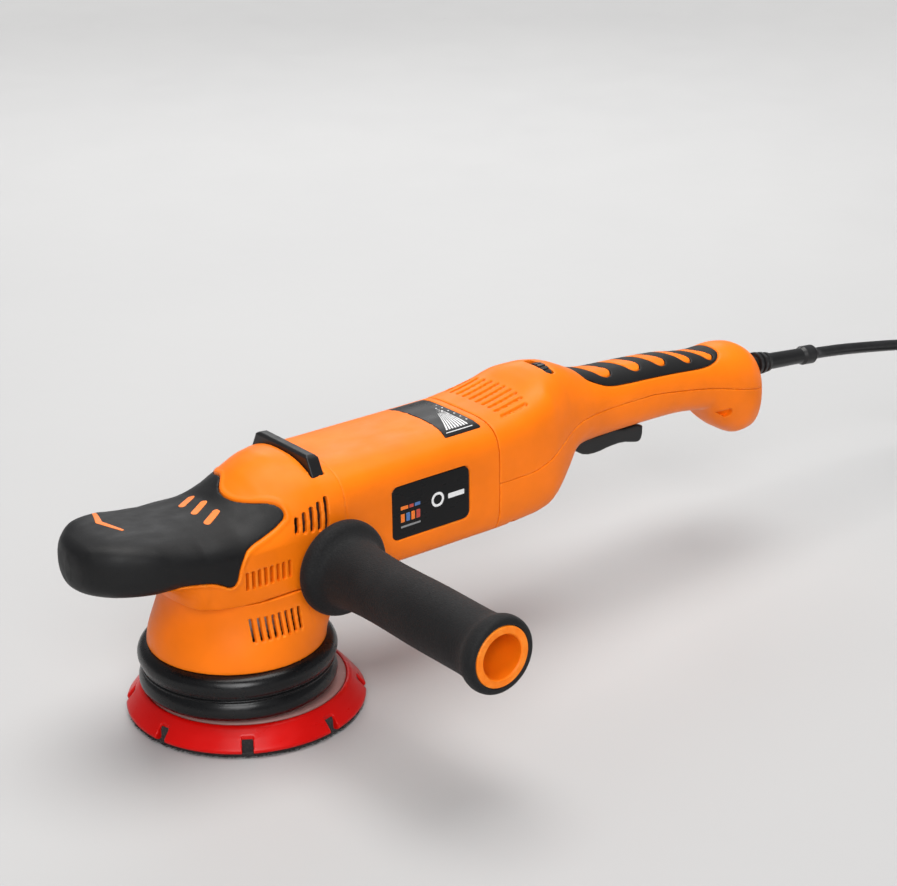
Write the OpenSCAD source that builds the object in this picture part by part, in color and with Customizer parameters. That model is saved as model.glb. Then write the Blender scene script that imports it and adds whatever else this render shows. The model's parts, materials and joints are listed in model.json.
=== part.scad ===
/* [Plate and drive] */
// Diameter of the backing plate
plate_d = 125; // [120:1:130]
// Orbit diameter: twice the distance between the drive axis and the plate axis
orbit = 15; // [12:1:16]
// Direction of the plate axis from the drive axis at rest, in degrees
orbit_angle = 30; // [0:5:90]
// Thickness of the hook-and-loop face
hook_t = 2; // [1.5:0.5:2.5]
// Number of notches round the plate's rim
plate_notches = 8; // [6:1:12]
// Teeth of the large bevel gear
gear_teeth = 42; // [42:1:42]
// Teeth of the armature pinion
pinion_teeth = 12; // [12:1:12]

/* [Head and motor housing] */
// Half width of the head at its sides
head_w = 39; // [38.5:0.5:39.5]
// Distance from the drive axis to the snout's tip
snout_l = 93; // [92:1:98]
// Height of the motor axis
motor_z = 101; // [100:0.5:102]
// Where the head ends and the motor housing begins
seam_front = 44; // [44:0.5:45]
// Where the motor housing ends and the rear housing begins
seam_rear = 145.5; // [145.5:0.5:148]
// Wall thickness of the plastic shells
wall = 2.6; // [2:0.2:3]
// Radius of the skirt's lower edge
skirt_r = 46; // [45:0.5:47]
// Height of the skirt's lower edge
skirt_z0 = 42.2; // [42:0.2:43]
// Height of the joint between the skirt and the head cover
skirt_z1 = 77; // [76.5:0.5:77]

/* [Side handle] */
// Distance of the side handle's axis behind the drive axis
side_x = 34.5; // [34:0.5:35]
// Height of the side handle's axis
side_z = 86; // [85:0.5:87]
// Length of the side handle's grip
side_l = 131.6; // [120:0.2:140]
// Radius of the side handle's M8 thread
thread_r = 4; // [4:1:4]

/* [Handle] */
// Radius of the speed dial
dial_r = 12; // [11:0.5:12]
// Travel of the lock button
lock_travel = 2; // [1.5:0.5:2]

/* [Mains lead] */
// Diameter of the mains lead
cord_d = 7; // [7:0.5:7]
// Smallest radius of the stored coil's turns
coil_r_in = 30; // [30:0.5:30]
// Turns in each layer of the stored coil
coil_turns = 3.5; // [3.5:0.5:3.5]

/* [Hidden] */
$fn = 64;

// Plate axis, as [x, y]
plate_c = orbit / 2 * [cos(orbit_angle), sin(orbit_angle)];
plate_r = plate_d / 2;
fit = 0.05;
gap = 0.2;
sides = 32;

// ---- Body form: sections across X, each an oval with squared corners ----
// Keys are [x, half width, top, widest height, bottom, upper squareness, lower squareness]
HEAD = [[-snout_l, 3, 113, 106, 100, 2, 2], [-91, 12, 117, 106, 96, 2.4, 2.2],
    [-86, 20, 120, 106, 93, 3, 2.5], [-76, 28, 121.5, 105.5, 91, 3.8, 2.8],
    [-62, 33.5, 120.5, 105, 90, 3.4, 3], [-54, 35, 119.3, 105, 89.5, 2.9, 2.8],
    [-48, 36, 118.8, 105, 86, 2.5, 2.4], [-42, 36.8, 118.4, 104.5, 77.5, 2.3, 2.2],
    [-36, 37.4, 118.2, 104, 66, 2.1, 2.2], [-30, 37.8, 118, 104, 62, 2.1, 2.6],
    [-15, 38.5, 119.5, 103, 58, 1.8, 4], [-7, 38.8, 123, 103, 56, 1.65, 5],
    [0, head_w, 127.5, 103, 56, 1.6, 5], [6, head_w, 131.5, 103, 56, 1.65, 5],
    [14, head_w, 136, 103, 56, 1.85, 5], [21, head_w, 138, 103, 56, 2.05, 5],
    [27, head_w, 138.5, 103, 56, 2.15, 5], [34, 38.8, 136.6, 103, 56, 2.3, 5],
    [seam_front, 38.4, 133, 103, 56, 3.4, 5]];
MOTOR = [[seam_front, 37.4, 131.5, 103, 67.5, 3.4, 5], [60, 36.2, 130.7, 102, 66.5, 5.2, 5],
    [100, 35.7, 130.4, 101, 66, 6, 5], [seam_rear, 35.6, 130.6, 101, 66, 6, 5]];
REAR = [[seam_rear, 35.6, 130.6, 101, 66, 6, 5], [160, 35, 132.8, 101, 65.5, 5.4, 4.6],
    [175, 34.2, 136.2, 101, 65.5, 4.5, 4.2], [186, 32.8, 140.4, 102, 66.5, 3.6, 4],
    [193, 31, 142.4, 103, 68.5, 3, 3.6], [199, 28.8, 143, 104, 72.5, 2.8, 3.2],
    [205, 26.6, 142.4, 106, 79, 2.6, 2.9], [211, 24.8, 140.6, 108, 88, 2.5, 2.6],
    [218, 23.2, 137.4, 110, 91, 2.4, 2.4], [228, 21.2, 133, 111, 91.5, 2.3, 2.3],
    [240, 20, 131, 111, 91.5, 2.3, 2.3],
    [262, 19.4, 129.6, 110, 91.5, 2.3, 2.3], [293, 19, 127, 108, 91, 2.3, 2.3],
    [313, 19, 123.5, 105, 88.8, 2.3, 2.3], [321, 19.4, 122.6, 103.6, 87.2, 2.3, 2.3],
    [325, 19.8, 122.3, 102.6, 83.4, 2.3, 2.3], [330, 20.4, 122.4, 101, 77.8, 2.3, 2.3],
    [340, 21.5, 122.8, 97, 70.4, 2.4, 2.4], [350, 21, 121.5, 93, 66, 2.4, 2.4],
    [360, 18, 116.2, 91, 65.8, 2.3, 2.3], [367, 12, 107, 90, 71.5, 2.2, 2.2],
    [371, 3, 95, 90, 83, 2, 2]];
// Height of the joint between the two rear shells, as [x, z]
PARTING = [[140, 97.4], [167, 97.2], [182, 100], [193, 105.2], [205, 110], [218, 112.6],
    [240, 112.7], [268, 112.4], [294, 109.2], [320, 104.6], [354, 96.6], [378, 91]];

function key(table, x, col) = lookup(x, [for (k = table) [k[0], k[col]]]);
// Distance from the section's middle to its edge, at angle a
function oval(a, w, h, n) = pow(pow(abs(cos(a)) / w, n) + pow(abs(sin(a)) / h, n), -1 / n);
function section(table, x, inset) = let (
        w = key(table, x, 1) - inset,
        mid = key(table, x, 3),
        up = key(table, x, 2) - inset - mid,
        down = mid - key(table, x, 4) - inset,
        upper = key(table, x, 5),
        lower = key(table, x, 6))
    [for (i = [0:sides - 1]) let (
        a = 360 * i / sides,
        r = sin(a) >= 0 ? oval(a, w, up, upper) : oval(a, w, down, lower))
        [x, r * cos(a), mid + r * sin(a)]];
// Closed solid through rings of points, each ring anticlockwise seen against the run of rings
module skin(rings) {
    n = len(rings[0]);
    last = len(rings) - 1;
    points = [for (ring = rings) for (p = ring) p];
    walls = [for (j = [0:last - 1]) for (i = [0:n - 1]) for (half = [0, 1])
        let (a = j * n + i, b = j * n + (i + 1) % n)
        half == 0 ? [a, b + n, b] : [a, a + n, b + n]];
    first_cap = [for (i = [0:n - 1]) i];
    last_cap = [for (i = [n - 1:-1:0]) last * n + i];
    polyhedron(points, concat([first_cap], walls, [last_cap]), convexity = 6);
}
// Solid of a table of sections, drawn in by inset, from x0 to x1
module form(table, inset, x0, x1) {
    inner = [for (k = table) if (k[0] > x0 + 0.5 && k[0] < x1 - 0.5) k[0]];
    skin([for (x = concat([x0], inner, [x1])) section(table, x, inset)]);
}
// Plan of the head at the skirt's top: a rounded front, flat sides and a flat back
skirt_front = 37;
function plan_top(a, inset) = let (
        along_x = abs(cos(a)) / ((cos(a) > 0 ? seam_front - 0.2 : skirt_front) - inset),
        along_y = abs(sin(a)) / (head_w + 0.3 - inset),
        n = cos(a) > 0 ? 8 : 2.1)
    pow(pow(along_x, n) + pow(along_y, n), -1 / n);
// Height at which the skirt has reached the head's plan
waist_z = 74;
function skirt_ring(z, inset) = let (
        t = min(1, (z - skirt_z0) / (waist_z - skirt_z0)),
        s = t * t * (3 - 2 * t))
    [for (i = [0:47]) let (
        a = 7.5 * i,
        r = (1 - s) * (skirt_r - inset) + s * plan_top(a, inset))
        [r * cos(a), r * sin(a), z]];
module skirt_form(inset, z0, z1) {
    step = (z1 - z0) / 7;
    skin([for (j = [0:7]) skirt_ring(z0 + j * step, inset)]);
}
// Straight slots cut through a side wall
module side_slots(x0, pitch, count, z0, z1) {
    for (i = [0:count - 1], side = [-1, 1])
        translate([x0 + i * pitch - 0.9, side * 40 - 8, z0])
            cube([1.8, 16, z1 - z0]);
}
// Side outline of the rubber grip on the head, as [x, z]
GRIP_SIDE = [[-110, 78], [-66, 78], [-54, 95], [-44, 95.5], [-36, 94.6], [-30, 92.6],
    [-25, 89.8], [-21.8, 91.6], [-19.8, 98], [-16, 104.4], [-11, 107], [-3.6, 109.2],
    [4, 111.9], [10.4, 115.8], [12.4, 119], [12.4, 150], [-110, 150]];
// Plan outline of the rubber grip on the head, as [x, y]
GRIP_PLAN = [[-110, -60], [12, -60], [11, -34], [10.2, -30.5], [8, -27], [2.6, -21.8],
    [-1.9, -17.4], [-5.4, -11.9], [-6.6, -6], [-6, -0.5], [-3.8, 3.6], [-1, 6.8], [1.3, 11],
    [2.2, 15], [3.4, 19], [5.7, 23.5], [8.4, 27.5], [10.4, 33], [12, 60], [-110, 60]];
module grip_region() {
    intersection() {
        rotate([90, 0, 0])
            linear_extrude(120, center = true) polygon(GRIP_SIDE);
        translate([0, 0, 70]) linear_extrude(80) polygon(GRIP_PLAN);
    }
}
module axis_x(x, y, z) {
    translate([x, y, z]) rotate([0, 90, 0]) children();
}
module axis_y(x, y, z) {
    translate([x, y, z]) rotate([90, 0, 0]) children();
}

// ---- Head ----
// Bumper bar across the top: its front, width, length, underside and flat top
bar_x = 31.5;
bar_w = 7;
bar_l = 52;
bar_z = 127;
bar_top = 140.4;
module head_solid(inset) {
    form(HEAD, inset, -snout_l + inset, seam_front + inset);
}
grip_t = 2;
module head_cover() {
    color([1, 0.45, 0.05])
    resize([0, 0, 0])
    difference() {
        union() {
            difference() {
                head_solid(0);
                grip_region();
            }
            intersection() {
                head_solid(grip_t);
                translate([-120, -60, 50]) cube([120 + seam_front, 120, 100]);
            }
        }
        head_solid(grip_t + wall);
        intersection() {
            head_solid(wall);
            union() {
                translate([13, -60, 60]) cube([60, 120, 90]);
                translate([-20, -60, 60]) cube([60, 120, 30]);
            }
        }
        translate([-60, -60, 40]) cube([120, 120, skirt_z1 - 40]);
        translate([seam_front, -60, 60]) cube([20, 120, 90]);
        axis_y(side_x, 60, side_z) cylinder(h = 120, r = 9.4, $fn = 32);
        side_slots(-17, 3.5, 8, 86, 95.5);
        for (i = [0:4], side = [-1, 1])
            translate([14 + i * 3.8, side * 40 - 8, 107])
                cube([2, 16, 4.5 + i * 2]);
        translate([bar_x - gap, -bar_l / 2 - gap, bar_z - gap])
            cube([bar_w + 2 * gap, bar_l + 2 * gap, 20]);
    }
}
module head_grip() {
    color([0.12, 0.12, 0.13])
    resize([0, 0, 0])
    intersection() {
        difference() {
            head_solid(0);
            head_solid(grip_t - 0.08);
        }
        grip_region();
    }
}
module head_bumper() {
    end = bar_l / 2;
    color([0.1, 0.1, 0.1])
    resize([0, 0, 0])
    difference() {
        translate([bar_x, 0, 0])
            rotate([90, 0, 90])
                linear_extrude(bar_w)
                    polygon([[-end, bar_z], [end, bar_z], [end, bar_z + 2],
                        [end - 2.4, bar_top - 1.4], [end - 4, bar_top], [4 - end, bar_top],
                        [2.4 - end, bar_top - 1.4], [-end, bar_z + 2]]);
        form(HEAD, wall + 0.2, 0, seam_front);
    }
}
module skirt_cover() {
    color([1, 0.42, 0.04])
    resize([0, 0, 0])
    difference() {
        skirt_form(0, skirt_z0, skirt_z1 - 0.1);
        skirt_form(wall, skirt_z0 - 0.01, skirt_z1);
        side_slots(-15.5, 3.8, 8, 57, 69);
    }
}
// Rubber shroud round the counterweight: two soft bulges and a lip inside the skirt
module shroud() {
    color([0.05, 0.05, 0.05])
    rotate_extrude($fn = 96)
        polygon([[42.9, 45], [41.4, 45], [41.4, 41], [44, 37], [44, 20], [47.2, 18], [49.5, 18.6],
            [50.9, 21], [51, 23.5], [50, 26.6], [48.8, 28.2], [49.2, 30.2], [51, 32.6],
            [51.5, 35.4], [50.9, 38.6], [49, 41], [46, skirt_z0 - 0.1], [42.9, skirt_z0 - 0.1]]);
}

// ---- Gear housing and spindle ----
cavity_r = 32;
lower_bearing_z = 58;
// Middle of the motor screws, off the motor axis
screw_y = 24;
screw_z = 20;
module motor_screw_places() {
    for (y = [-screw_y, screw_y], z = [-screw_z, screw_z])
        translate([0, y, motor_z + z]) children();
}
module gear_housing() {
    color([0.7, 0.71, 0.73])
    difference() {
        union() {
            translate([0, 0, 57]) cylinder(h = 44, r = 34);
            translate([0, 0, 100]) cylinder(h = 7, r = 12);
            translate([13, -13.5, 95]) cube([10, 27, 19]);
            translate([20, -29, 77.6]) cube([seam_front - 20 - gap, 58, 44.4]);
            for (side = [0, 1])
                mirror([0, side, 0])
                    axis_y(side_x, -26, side_z) cylinder(h = 14.1, r = 9);
        }
        translate([0, 0, 78]) cylinder(h = 19, r = cavity_r);
        translate([0, 0, 60]) cylinder(h = 30, r = 12.5);
        translate([0, 0, 50]) cylinder(h = 19, r = 17.52);
        translate([0, 0, 96]) cylinder(h = 9.4, r = 8);
        axis_x(16, 0, motor_z) cylinder(h = 15, r = 10.3);
        axis_x(30, 0, motor_z) cylinder(h = 10, r = 6);
        axis_x(33, 0, motor_z) cylinder(h = 20, r = 11.02);
        for (side = [0, 1])
            mirror([0, side, 0])
                axis_y(side_x, -28, side_z) cylinder(h = 20, r = thread_r);
        for (a = [45:90:315])
            translate([26 * cos(a), 26 * sin(a), 50]) cylinder(h = 18, r = 1.6);
        motor_screw_places() axis_x(29, 0, 0) cylinder(h = 20, r = 2);
    }
}
module bearing_retainer() {
    color([0.55, 0.56, 0.58])
    difference() {
        translate([0, 0, 53.8]) cylinder(h = 3, r = 31);
        translate([0, 0, 53]) cylinder(h = 5, r = 13);
        for (a = [45:90:315])
            translate([26 * cos(a), 26 * sin(a), 50]) cylinder(h = 10, r = 2.1);
    }
}
module retainer_screws() {
    color([0.3, 0.3, 0.32])
    for (a = [45:90:315])
        translate([26 * cos(a), 26 * sin(a), 0]) {
            translate([0, 0, 53.6]) cylinder(h = 13, r = 1.55);
            difference() {
                translate([0, 0, 51]) cylinder(h = 2.7, r = 3.6);
                translate([0, 0, 50]) cylinder(h = 2.4, r = 1.8, $fn = 6);
            }
        }
}
module motor_screws() {
    color([0.3, 0.3, 0.32])
    motor_screw_places()
        axis_x(30, 0, 0) {
            cylinder(h = 19, r = 1.95);
            translate([0, 0, 18.9]) cylinder(h = 3, r = 3.6);
        }
}
// One race of a bearing: a ring with a ball groove on one side
module race(h, r_in, r_out, groove_r) {
    rotate_extrude()
        difference() {
            translate([r_in, 0]) square([r_out - r_in, h]);
            translate([groove_r, h / 2]) circle(r = 1.5, $fn = 24);
        }
}
module spindle_bearing_outer() {
    color([0.75, 0.76, 0.78])
    translate([0, 0, lower_bearing_z]) race(11, 13.4, 17.5, 12.8);
}
module spindle_bearing_inner() {
    color([0.78, 0.79, 0.8])
    translate([0, 0, lower_bearing_z]) race(11, 7.5, 11.6, 12.2);
}
module spindle_bush() {
    color([0.72, 0.55, 0.3])
    translate([0, 0, 98])
        difference() {
            cylinder(h = 7.2, r = 7.98);
            translate([0, 0, -1]) cylinder(h = 11, r = 5 + fit);
        }
}
module spindle() {
    color([0.66, 0.67, 0.7])
    union() {
        translate([0, 0, 40.5]) cylinder(h = 28.7, r = 7.48);
        translate([0, 0, 69.2]) cylinder(h = 8.6, r = 10.8);
        translate([0, 0, 77.7]) cylinder(h = 18, r = 7.98);
        translate([0, 0, 95.6]) cylinder(h = 8.6, r = 5);
    }
}
// Bevel gears share one apex where the two axes cross
face_in = 0.7;
gear_r = 30;
pinion_r = gear_r * pinion_teeth / gear_teeth;
cone_l = sqrt(gear_r * gear_r + pinion_r * pinion_r);
tip_h = 0.95;
root_h = 1.5;
// Tooth outline in a plane across the axis, at distance d from the apex
module tooth_ring(teeth, r, d) {
    pitch_angle = atan(r / d);
    tip = d * tan(pitch_angle + atan(tip_h / cone_l));
    root = d * tan(pitch_angle - atan(root_h / cone_l));
    step = 360 / teeth;
    // Half of a tooth's angle at its root, pitch circle and tip
    half_root = 1.35 / r * 180 / PI;
    half_tip = 0.34 / r * 180 / PI;
    polygon([for (i = [0:teeth - 1], k = [[-1, root, half_root], [-1, tip, half_tip],
            [1, tip, half_tip], [1, root, half_root]])
        k[1] * [cos(i * step + k[0] * k[2]), sin(i * step + k[0] * k[2])]]);
}
// Teeth from distance d_far to d_near below the apex, drawn towards it
module bevel_teeth(teeth, r, d, d_far, d_near) {
    linear_extrude(d_far - d_near, scale = d_near / d_far)
        scale(d_far / d) tooth_ring(teeth, r, d);
}
module bevel_gear() {
    color([0.6, 0.6, 0.62])
    difference() {
        union() {
            resize([0, 0, 0])
            intersection() {
                translate([0, 0, motor_z - 11.4])
                    bevel_teeth(gear_teeth, gear_r, pinion_r, 11.4, face_in * pinion_r);
                translate([0, 0, 80])
                    difference() {
                        cylinder(h = 20, r = gear_r + 1, $fn = 96);
                        translate([0, 0, -1]) cylinder(h = 22, r = 19, $fn = 64);
                    }
            }
            translate([0, 0, 84]) cylinder(h = motor_z - 11.4 - 84, r = gear_r + 1);
            translate([0, 0, 80]) cylinder(h = 12, r = 14);
        }
        translate([0, 0, 79]) cylinder(h = 20, r = 8);
    }
}
module pinion() {
    color([0.58, 0.58, 0.6])
    difference() {
        resize([0, 0, 0])
        translate([gear_r, 0, motor_z])
            rotate([0, -90, 0])
                rotate([0, 0, 180 / pinion_teeth])
                    bevel_teeth(pinion_teeth, pinion_r, gear_r, gear_r, face_in * gear_r);
        axis_x(19, 0, motor_z) cylinder(h = 20, r = 4);
    }
}
module counterweight() {
    color([0.45, 0.46, 0.48])
    difference() {
        union() {
            translate([0, 0, 36]) cylinder(h = 17, r = 12);
            translate([plate_c[0], plate_c[1], 19]) cylinder(h = 21, r = 19);
            rotate([0, 0, orbit_angle])
                translate([0, 0, 25])
                    intersection() {
                        cylinder(h = 13, r = 40);
                        translate([-45, -45, 0]) cube([45 - 2, 90, 13]);
                    }
        }
        translate([0, 0, 40.5]) cylinder(h = 20, r = 7.5);
        translate([plate_c[0], plate_c[1], 18]) cylinder(h = 18, r = 14.02);
    }
}
module eccentric_bearing_outers() {
    color([0.75, 0.76, 0.78])
    for (z = [19.5, 27.8])
        translate([plate_c[0], plate_c[1], z]) race(8, 11, 14, 10.4);
}
module eccentric_bearing_inners() {
    color([0.78, 0.79, 0.8])
    for (z = [19.5, 27.8])
        translate([plate_c[0], plate_c[1], z]) race(8, 6, 9, 9.6);
}

// ---- Plate ----
module plate_spindle() {
    color([0.66, 0.67, 0.7])
    translate([plate_c[0], plate_c[1], 0])
        difference() {
            union() {
                translate([0, 0, 15.6]) cylinder(h = 3.7, r = 8.4);
                translate([0, 0, 19.2]) cylinder(h = 16.4, r = 5.98);
            }
            translate([0, 0, 15]) cylinder(h = 15, r = thread_r);
        }
}
module plate_disc() {
    color([0.6, 0.42, 0.4])
    translate([plate_c[0], plate_c[1], 0])
        difference() {
            union() {
                translate([0, 0, 13.4]) cylinder(h = 2, r = plate_r - 10.5);
                translate([0, 0, 8.2]) cylinder(h = 6, r = 16);
            }
            translate([0, 0, 7]) cylinder(h = 10, r = 4.2);
        }
}
module backing_plate() {
    color([0.85, 0.08, 0.06])
    translate([plate_c[0], plate_c[1], 0])
        difference() {
            rotate_extrude($fn = 96)
                polygon([[7.2, hook_t], [plate_r - 2.4, hook_t], [plate_r, hook_t + 1.4],
                    [plate_r, hook_t + 2.6], [plate_r - 1, hook_t + 3.6], [plate_r - 7.6, 13.6],
                    [plate_r - 9, 14.6], [plate_r - 10.2, 14.4], [plate_r - 10.2, 13.3],
                    [16.2, 13.3], [16.2, 8.1], [7.2, 8.1]]);
            for (i = [0:plate_notches - 1])
                rotate([0, 0, 16 + i * 360 / plate_notches])
                    translate([plate_r - 4.2, -2.4, hook_t - 1]) cube([8, 4.8, 10]);
        }
}
module hook_pad() {
    color([0.16, 0.14, 0.14])
    translate([plate_c[0], plate_c[1], 0])
        difference() {
            cylinder(h = hook_t, r = plate_r - 2.2, $fn = 96);
            translate([0, 0, -1]) cylinder(h = 5, r = 6.8);
        }
}
module plate_bolt() {
    color([0.25, 0.25, 0.27])
    translate([plate_c[0], plate_c[1], 0])
        difference() {
            union() {
                translate([0, 0, 1]) cylinder(h = 5.6, r = 6.4);
                translate([0, 0, 6.4]) cylinder(h = 21, r = thread_r - 0.05);
            }
            translate([0, 0, 0]) cylinder(h = 4.4, r = 3.4, $fn = 6);
        }
}
module plate_washer() {
    color([0.7, 0.71, 0.73])
    translate([plate_c[0], plate_c[1], 6.65])
        difference() {
            cylinder(h = 1.4, r = 7);
            translate([0, 0, -1]) cylinder(h = 4, r = 4.15);
        }
}

// ---- Motor ----
stator_x = [66, 114];
badge_x = [74, 125];
badge_z = [84, 114];
badge_y = 34.5;
label_x = [115, 141];
label_z = 129;
label_w = 26;
// Radius of the label's hollow front edge, and x where the label is narrowest
label_arc = 85;
label_waist = 120.4;
module label_form(shrink, z, h) {
    difference() {
        translate([label_x[0] + shrink, shrink - label_w, z])
            cube([label_x[1] - label_x[0] - 2 * shrink, 2 * (label_w - shrink), h]);
        translate([label_waist - label_arc, 0, z - 1])
            cylinder(h = h + 2, r = label_arc + shrink, $fn = 180);
    }
}
// Flat-sided disc that fills the motor housing's inside
module round_flat(x0, x1, r, half_z) {
    intersection() {
        axis_x(x0, 0, motor_z) cylinder(h = x1 - x0, r = r);
        translate([x0 - 1, -r - 1, motor_z - half_z]) cube([x1 - x0 + 2, 2 * r + 2, 2 * half_z]);
    }
}
module motor_housing() {
    color([1, 0.45, 0.05])
    resize([0, 0, 0])
    difference() {
        union() {
            difference() {
                form(MOTOR, 0, seam_front + 0.1, seam_rear - 0.1);
                form(MOTOR, wall, seam_front, seam_rear);
            }
            intersection() {
                form(MOTOR, 1, seam_front + 0.1, seam_rear - 0.1);
                for (side = [-1, 1], up = [-1, 1])
                    translate([seam_front + 0.1, side * 28.5 - 8, motor_z + up * 21.2 - 4])
                        cube([4.6, 16, 8]);
            }
        }
        motor_screw_places() axis_x(40, 0, 0) cylinder(h = 20, r = 2.2, $fn = 24);
        for (side = [-1, 1])
            translate([badge_x[0], side * (badge_y + 3) - 3, badge_z[0]])
                cube([badge_x[1] - badge_x[0], 6, badge_z[1] - badge_z[0]]);
        label_form(0, label_z, 5);
    }
}
module badge() {
    translate([badge_x[0] + 0.2, badge_y + 0.1, badge_z[0] + 0.2])
        cube([badge_x[1] - badge_x[0] - 0.4, 0.8, badge_z[1] - badge_z[0] - 0.4]);
}
module badge_left() {
    color([0.12, 0.12, 0.13])
    mirror([0, 1, 0]) badge();
}
module badge_right() {
    color([0.12, 0.12, 0.13])
    badge();
}
module speed_label() {
    color([0.2, 0.2, 0.22])
    label_form(0.2, label_z + 0.05, 0.6);
}
module stator_core() {
    color([0.5, 0.51, 0.53])
    difference() {
        round_flat(stator_x[0], stator_x[1], 32.6, 25.5);
        axis_x(stator_x[0] - 1, 0, motor_z) cylinder(h = 60, r = 19.4);
    }
}
module field_windings() {
    color([0.72, 0.4, 0.18])
    for (x = [stator_x[0] - 7.2, stator_x[1] + 0.2])
        difference() {
            round_flat(x, x + 7, 29.5, 24);
            axis_x(x - 1, 0, motor_z) cylinder(h = 9, r = 21.5);
        }
}
module fan_baffle() {
    color([0.15, 0.15, 0.16])
    difference() {
        round_flat(56, 58.4, 33, 25.8);
        axis_x(55, 0, motor_z) cylinder(h = 5, r = 21);
    }
}
module brush_plate() {
    color([0.2, 0.2, 0.22])
    difference() {
        round_flat(135.4, 145.4, 32.6, 25.5);
        axis_x(130, 0, motor_z) cylinder(h = 6.4, r = 12);
        axis_x(136.4, 0, motor_z) cylinder(h = 7, r = 11.02);
        axis_x(135, 0, motor_z) cylinder(h = 20, r = 6);
        for (a = [45:90:315])
            axis_x(134, 22 * cos(a), motor_z + 20 * sin(a)) cylinder(h = 20, r = 6);
    }
}
module brush_holders() {
    color([0.78, 0.62, 0.3])
    for (side = [0, 1])
        mirror([0, side, 0])
            difference() {
                translate([122.6, 13, motor_z - 5]) cube([12.6, 18, 10]);
                translate([124.4, 12, motor_z - 3.2]) cube([8.4, 17.5, 6.4]);
            }
}
module carbon_brushes() {
    color([0.12, 0.12, 0.12])
    for (side = [0, 1])
        mirror([0, side, 0])
            difference() {
                translate([124.6, 10, motor_z - 3]) cube([8, 16, 6]);
                axis_x(120, 0, motor_z) cylinder(h = 20, r = 11.3);
            }
}
module armature_bearing_outers() {
    color([0.75, 0.76, 0.78])
    for (x = [33, 136.4])
        axis_x(x, 0, motor_z) race(7, 8.4, 11, 7.9);
}
module armature_bearing_inners() {
    color([0.78, 0.79, 0.8])
    for (x = [33, 136.4])
        axis_x(x, 0, motor_z) race(7, 4, 6.6, 7.1);
}
module armature_shaft() {
    color([0.66, 0.67, 0.7])
    union() {
        axis_x(19, 0, motor_z) cylinder(h = 125, r = 3.98);
        axis_x(60, 0, motor_z) cylinder(h = 62, r = 6);
    }
}
module armature_core() {
    color([0.48, 0.49, 0.51])
    difference() {
        axis_x(stator_x[0] + 1, 0, motor_z) cylinder(h = 46, r = 18.8);
        axis_x(stator_x[0], 0, motor_z) cylinder(h = 50, r = 6);
        for (a = [0:30:330])
            translate([stator_x[0], 0, motor_z])
                rotate([a, 0, 0])
                    translate([0, -1.2, 12]) cube([50, 2.4, 8]);
    }
}
module armature_windings() {
    color([0.75, 0.42, 0.18])
    for (x = [stator_x[0] - 5.2, stator_x[1] - 0.8])
        difference() {
            axis_x(x, 0, motor_z) cylinder(h = 6, r = 17);
            axis_x(x - 1, 0, motor_z) cylinder(h = 8, r = 6);
        }
}
module commutator() {
    color([0.72, 0.43, 0.22])
    difference() {
        axis_x(122.2, 0, motor_z) cylinder(h = 12, r = 11);
        axis_x(121, 0, motor_z) cylinder(h = 15, r = 3.98);
        for (a = [0:18:342])
            translate([122, 0, motor_z])
                rotate([a, 0, 0])
                    translate([0, -0.25, 10.2]) cube([13, 0.5, 2]);
    }
}
module fan() {
    color([0.85, 0.85, 0.82])
    difference() {
        union() {
            axis_x(44.6, 0, motor_z) cylinder(h = 10.8, r = 8);
            axis_x(44.6, 0, motor_z) cylinder(h = 1.8, r = 26);
            for (a = [0:30:330])
                translate([46, 0, motor_z])
                    rotate([a, 0, 0])
                        translate([0, -0.6, 7]) cube([9.2, 1.2, 18.6]);
        }
        axis_x(44, 0, motor_z) cylinder(h = 15, r = 4);
    }
}

// ---- Rear housing and handle ----
dial_x = 200;
dial_y = -3;
dial_z = 131.4;
module above_parting(lift) {
    rotate([90, 0, 0])
        linear_extrude(120, center = true)
            polygon(concat([for (p = PARTING) [p[0], p[1] + lift]], [[390, 160], [130, 160]]));
}
module rear_wall() {
    difference() {
        form(REAR, 0, seam_rear + 0.1, 371);
        form(REAR, wall, seam_rear, 366.5);
    }
}
relief_tilt = 5.7;
relief_x = 358;
relief_z = 103.9;
module relief_axis() {
    translate([relief_x, 0, relief_z]) rotate([0, 90 + relief_tilt, 0]) children();
}
// Side outline of the rubber inset on the handle, as [x, z]
INSET_SIDE = [[223, 137], [225, 131], [232, 127.3], [240.5, 123.6], [255.5, 122.2],
    [271, 121.3], [295, 119.3], [315, 116.8], [325, 117.4], [331, 119.5], [334, 122],
    [334, 140], [223, 142]];
inset_t = 1.8;
module inset_region() {
    rotate([90, 0, 0])
        linear_extrude(60, center = true) polygon(INSET_SIDE);
}
// Screws that hold the two rear shells together, as [x, y, head height]
REAR_SCREWS = [[158, -27, 86], [158, 27, 86], [288, 0, 98]];
module rear_body() {
    rear_wall();
    intersection() {
        form(REAR, 0.5, seam_rear + 0.1, 370);
        for (p = REAR_SCREWS)
            translate([p[0], p[1], 60]) cylinder(h = 90, r = 4.6, $fn = 24);
    }
}
module rear_screw_holes() {
    for (p = REAR_SCREWS)
        translate([p[0], p[1], 60]) {
            cylinder(h = p[2] - 60, r = 3.5, $fn = 24);
            cylinder(h = p[2] - 60 + 22, r = 1.75, $fn = 24);
        }
}
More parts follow.
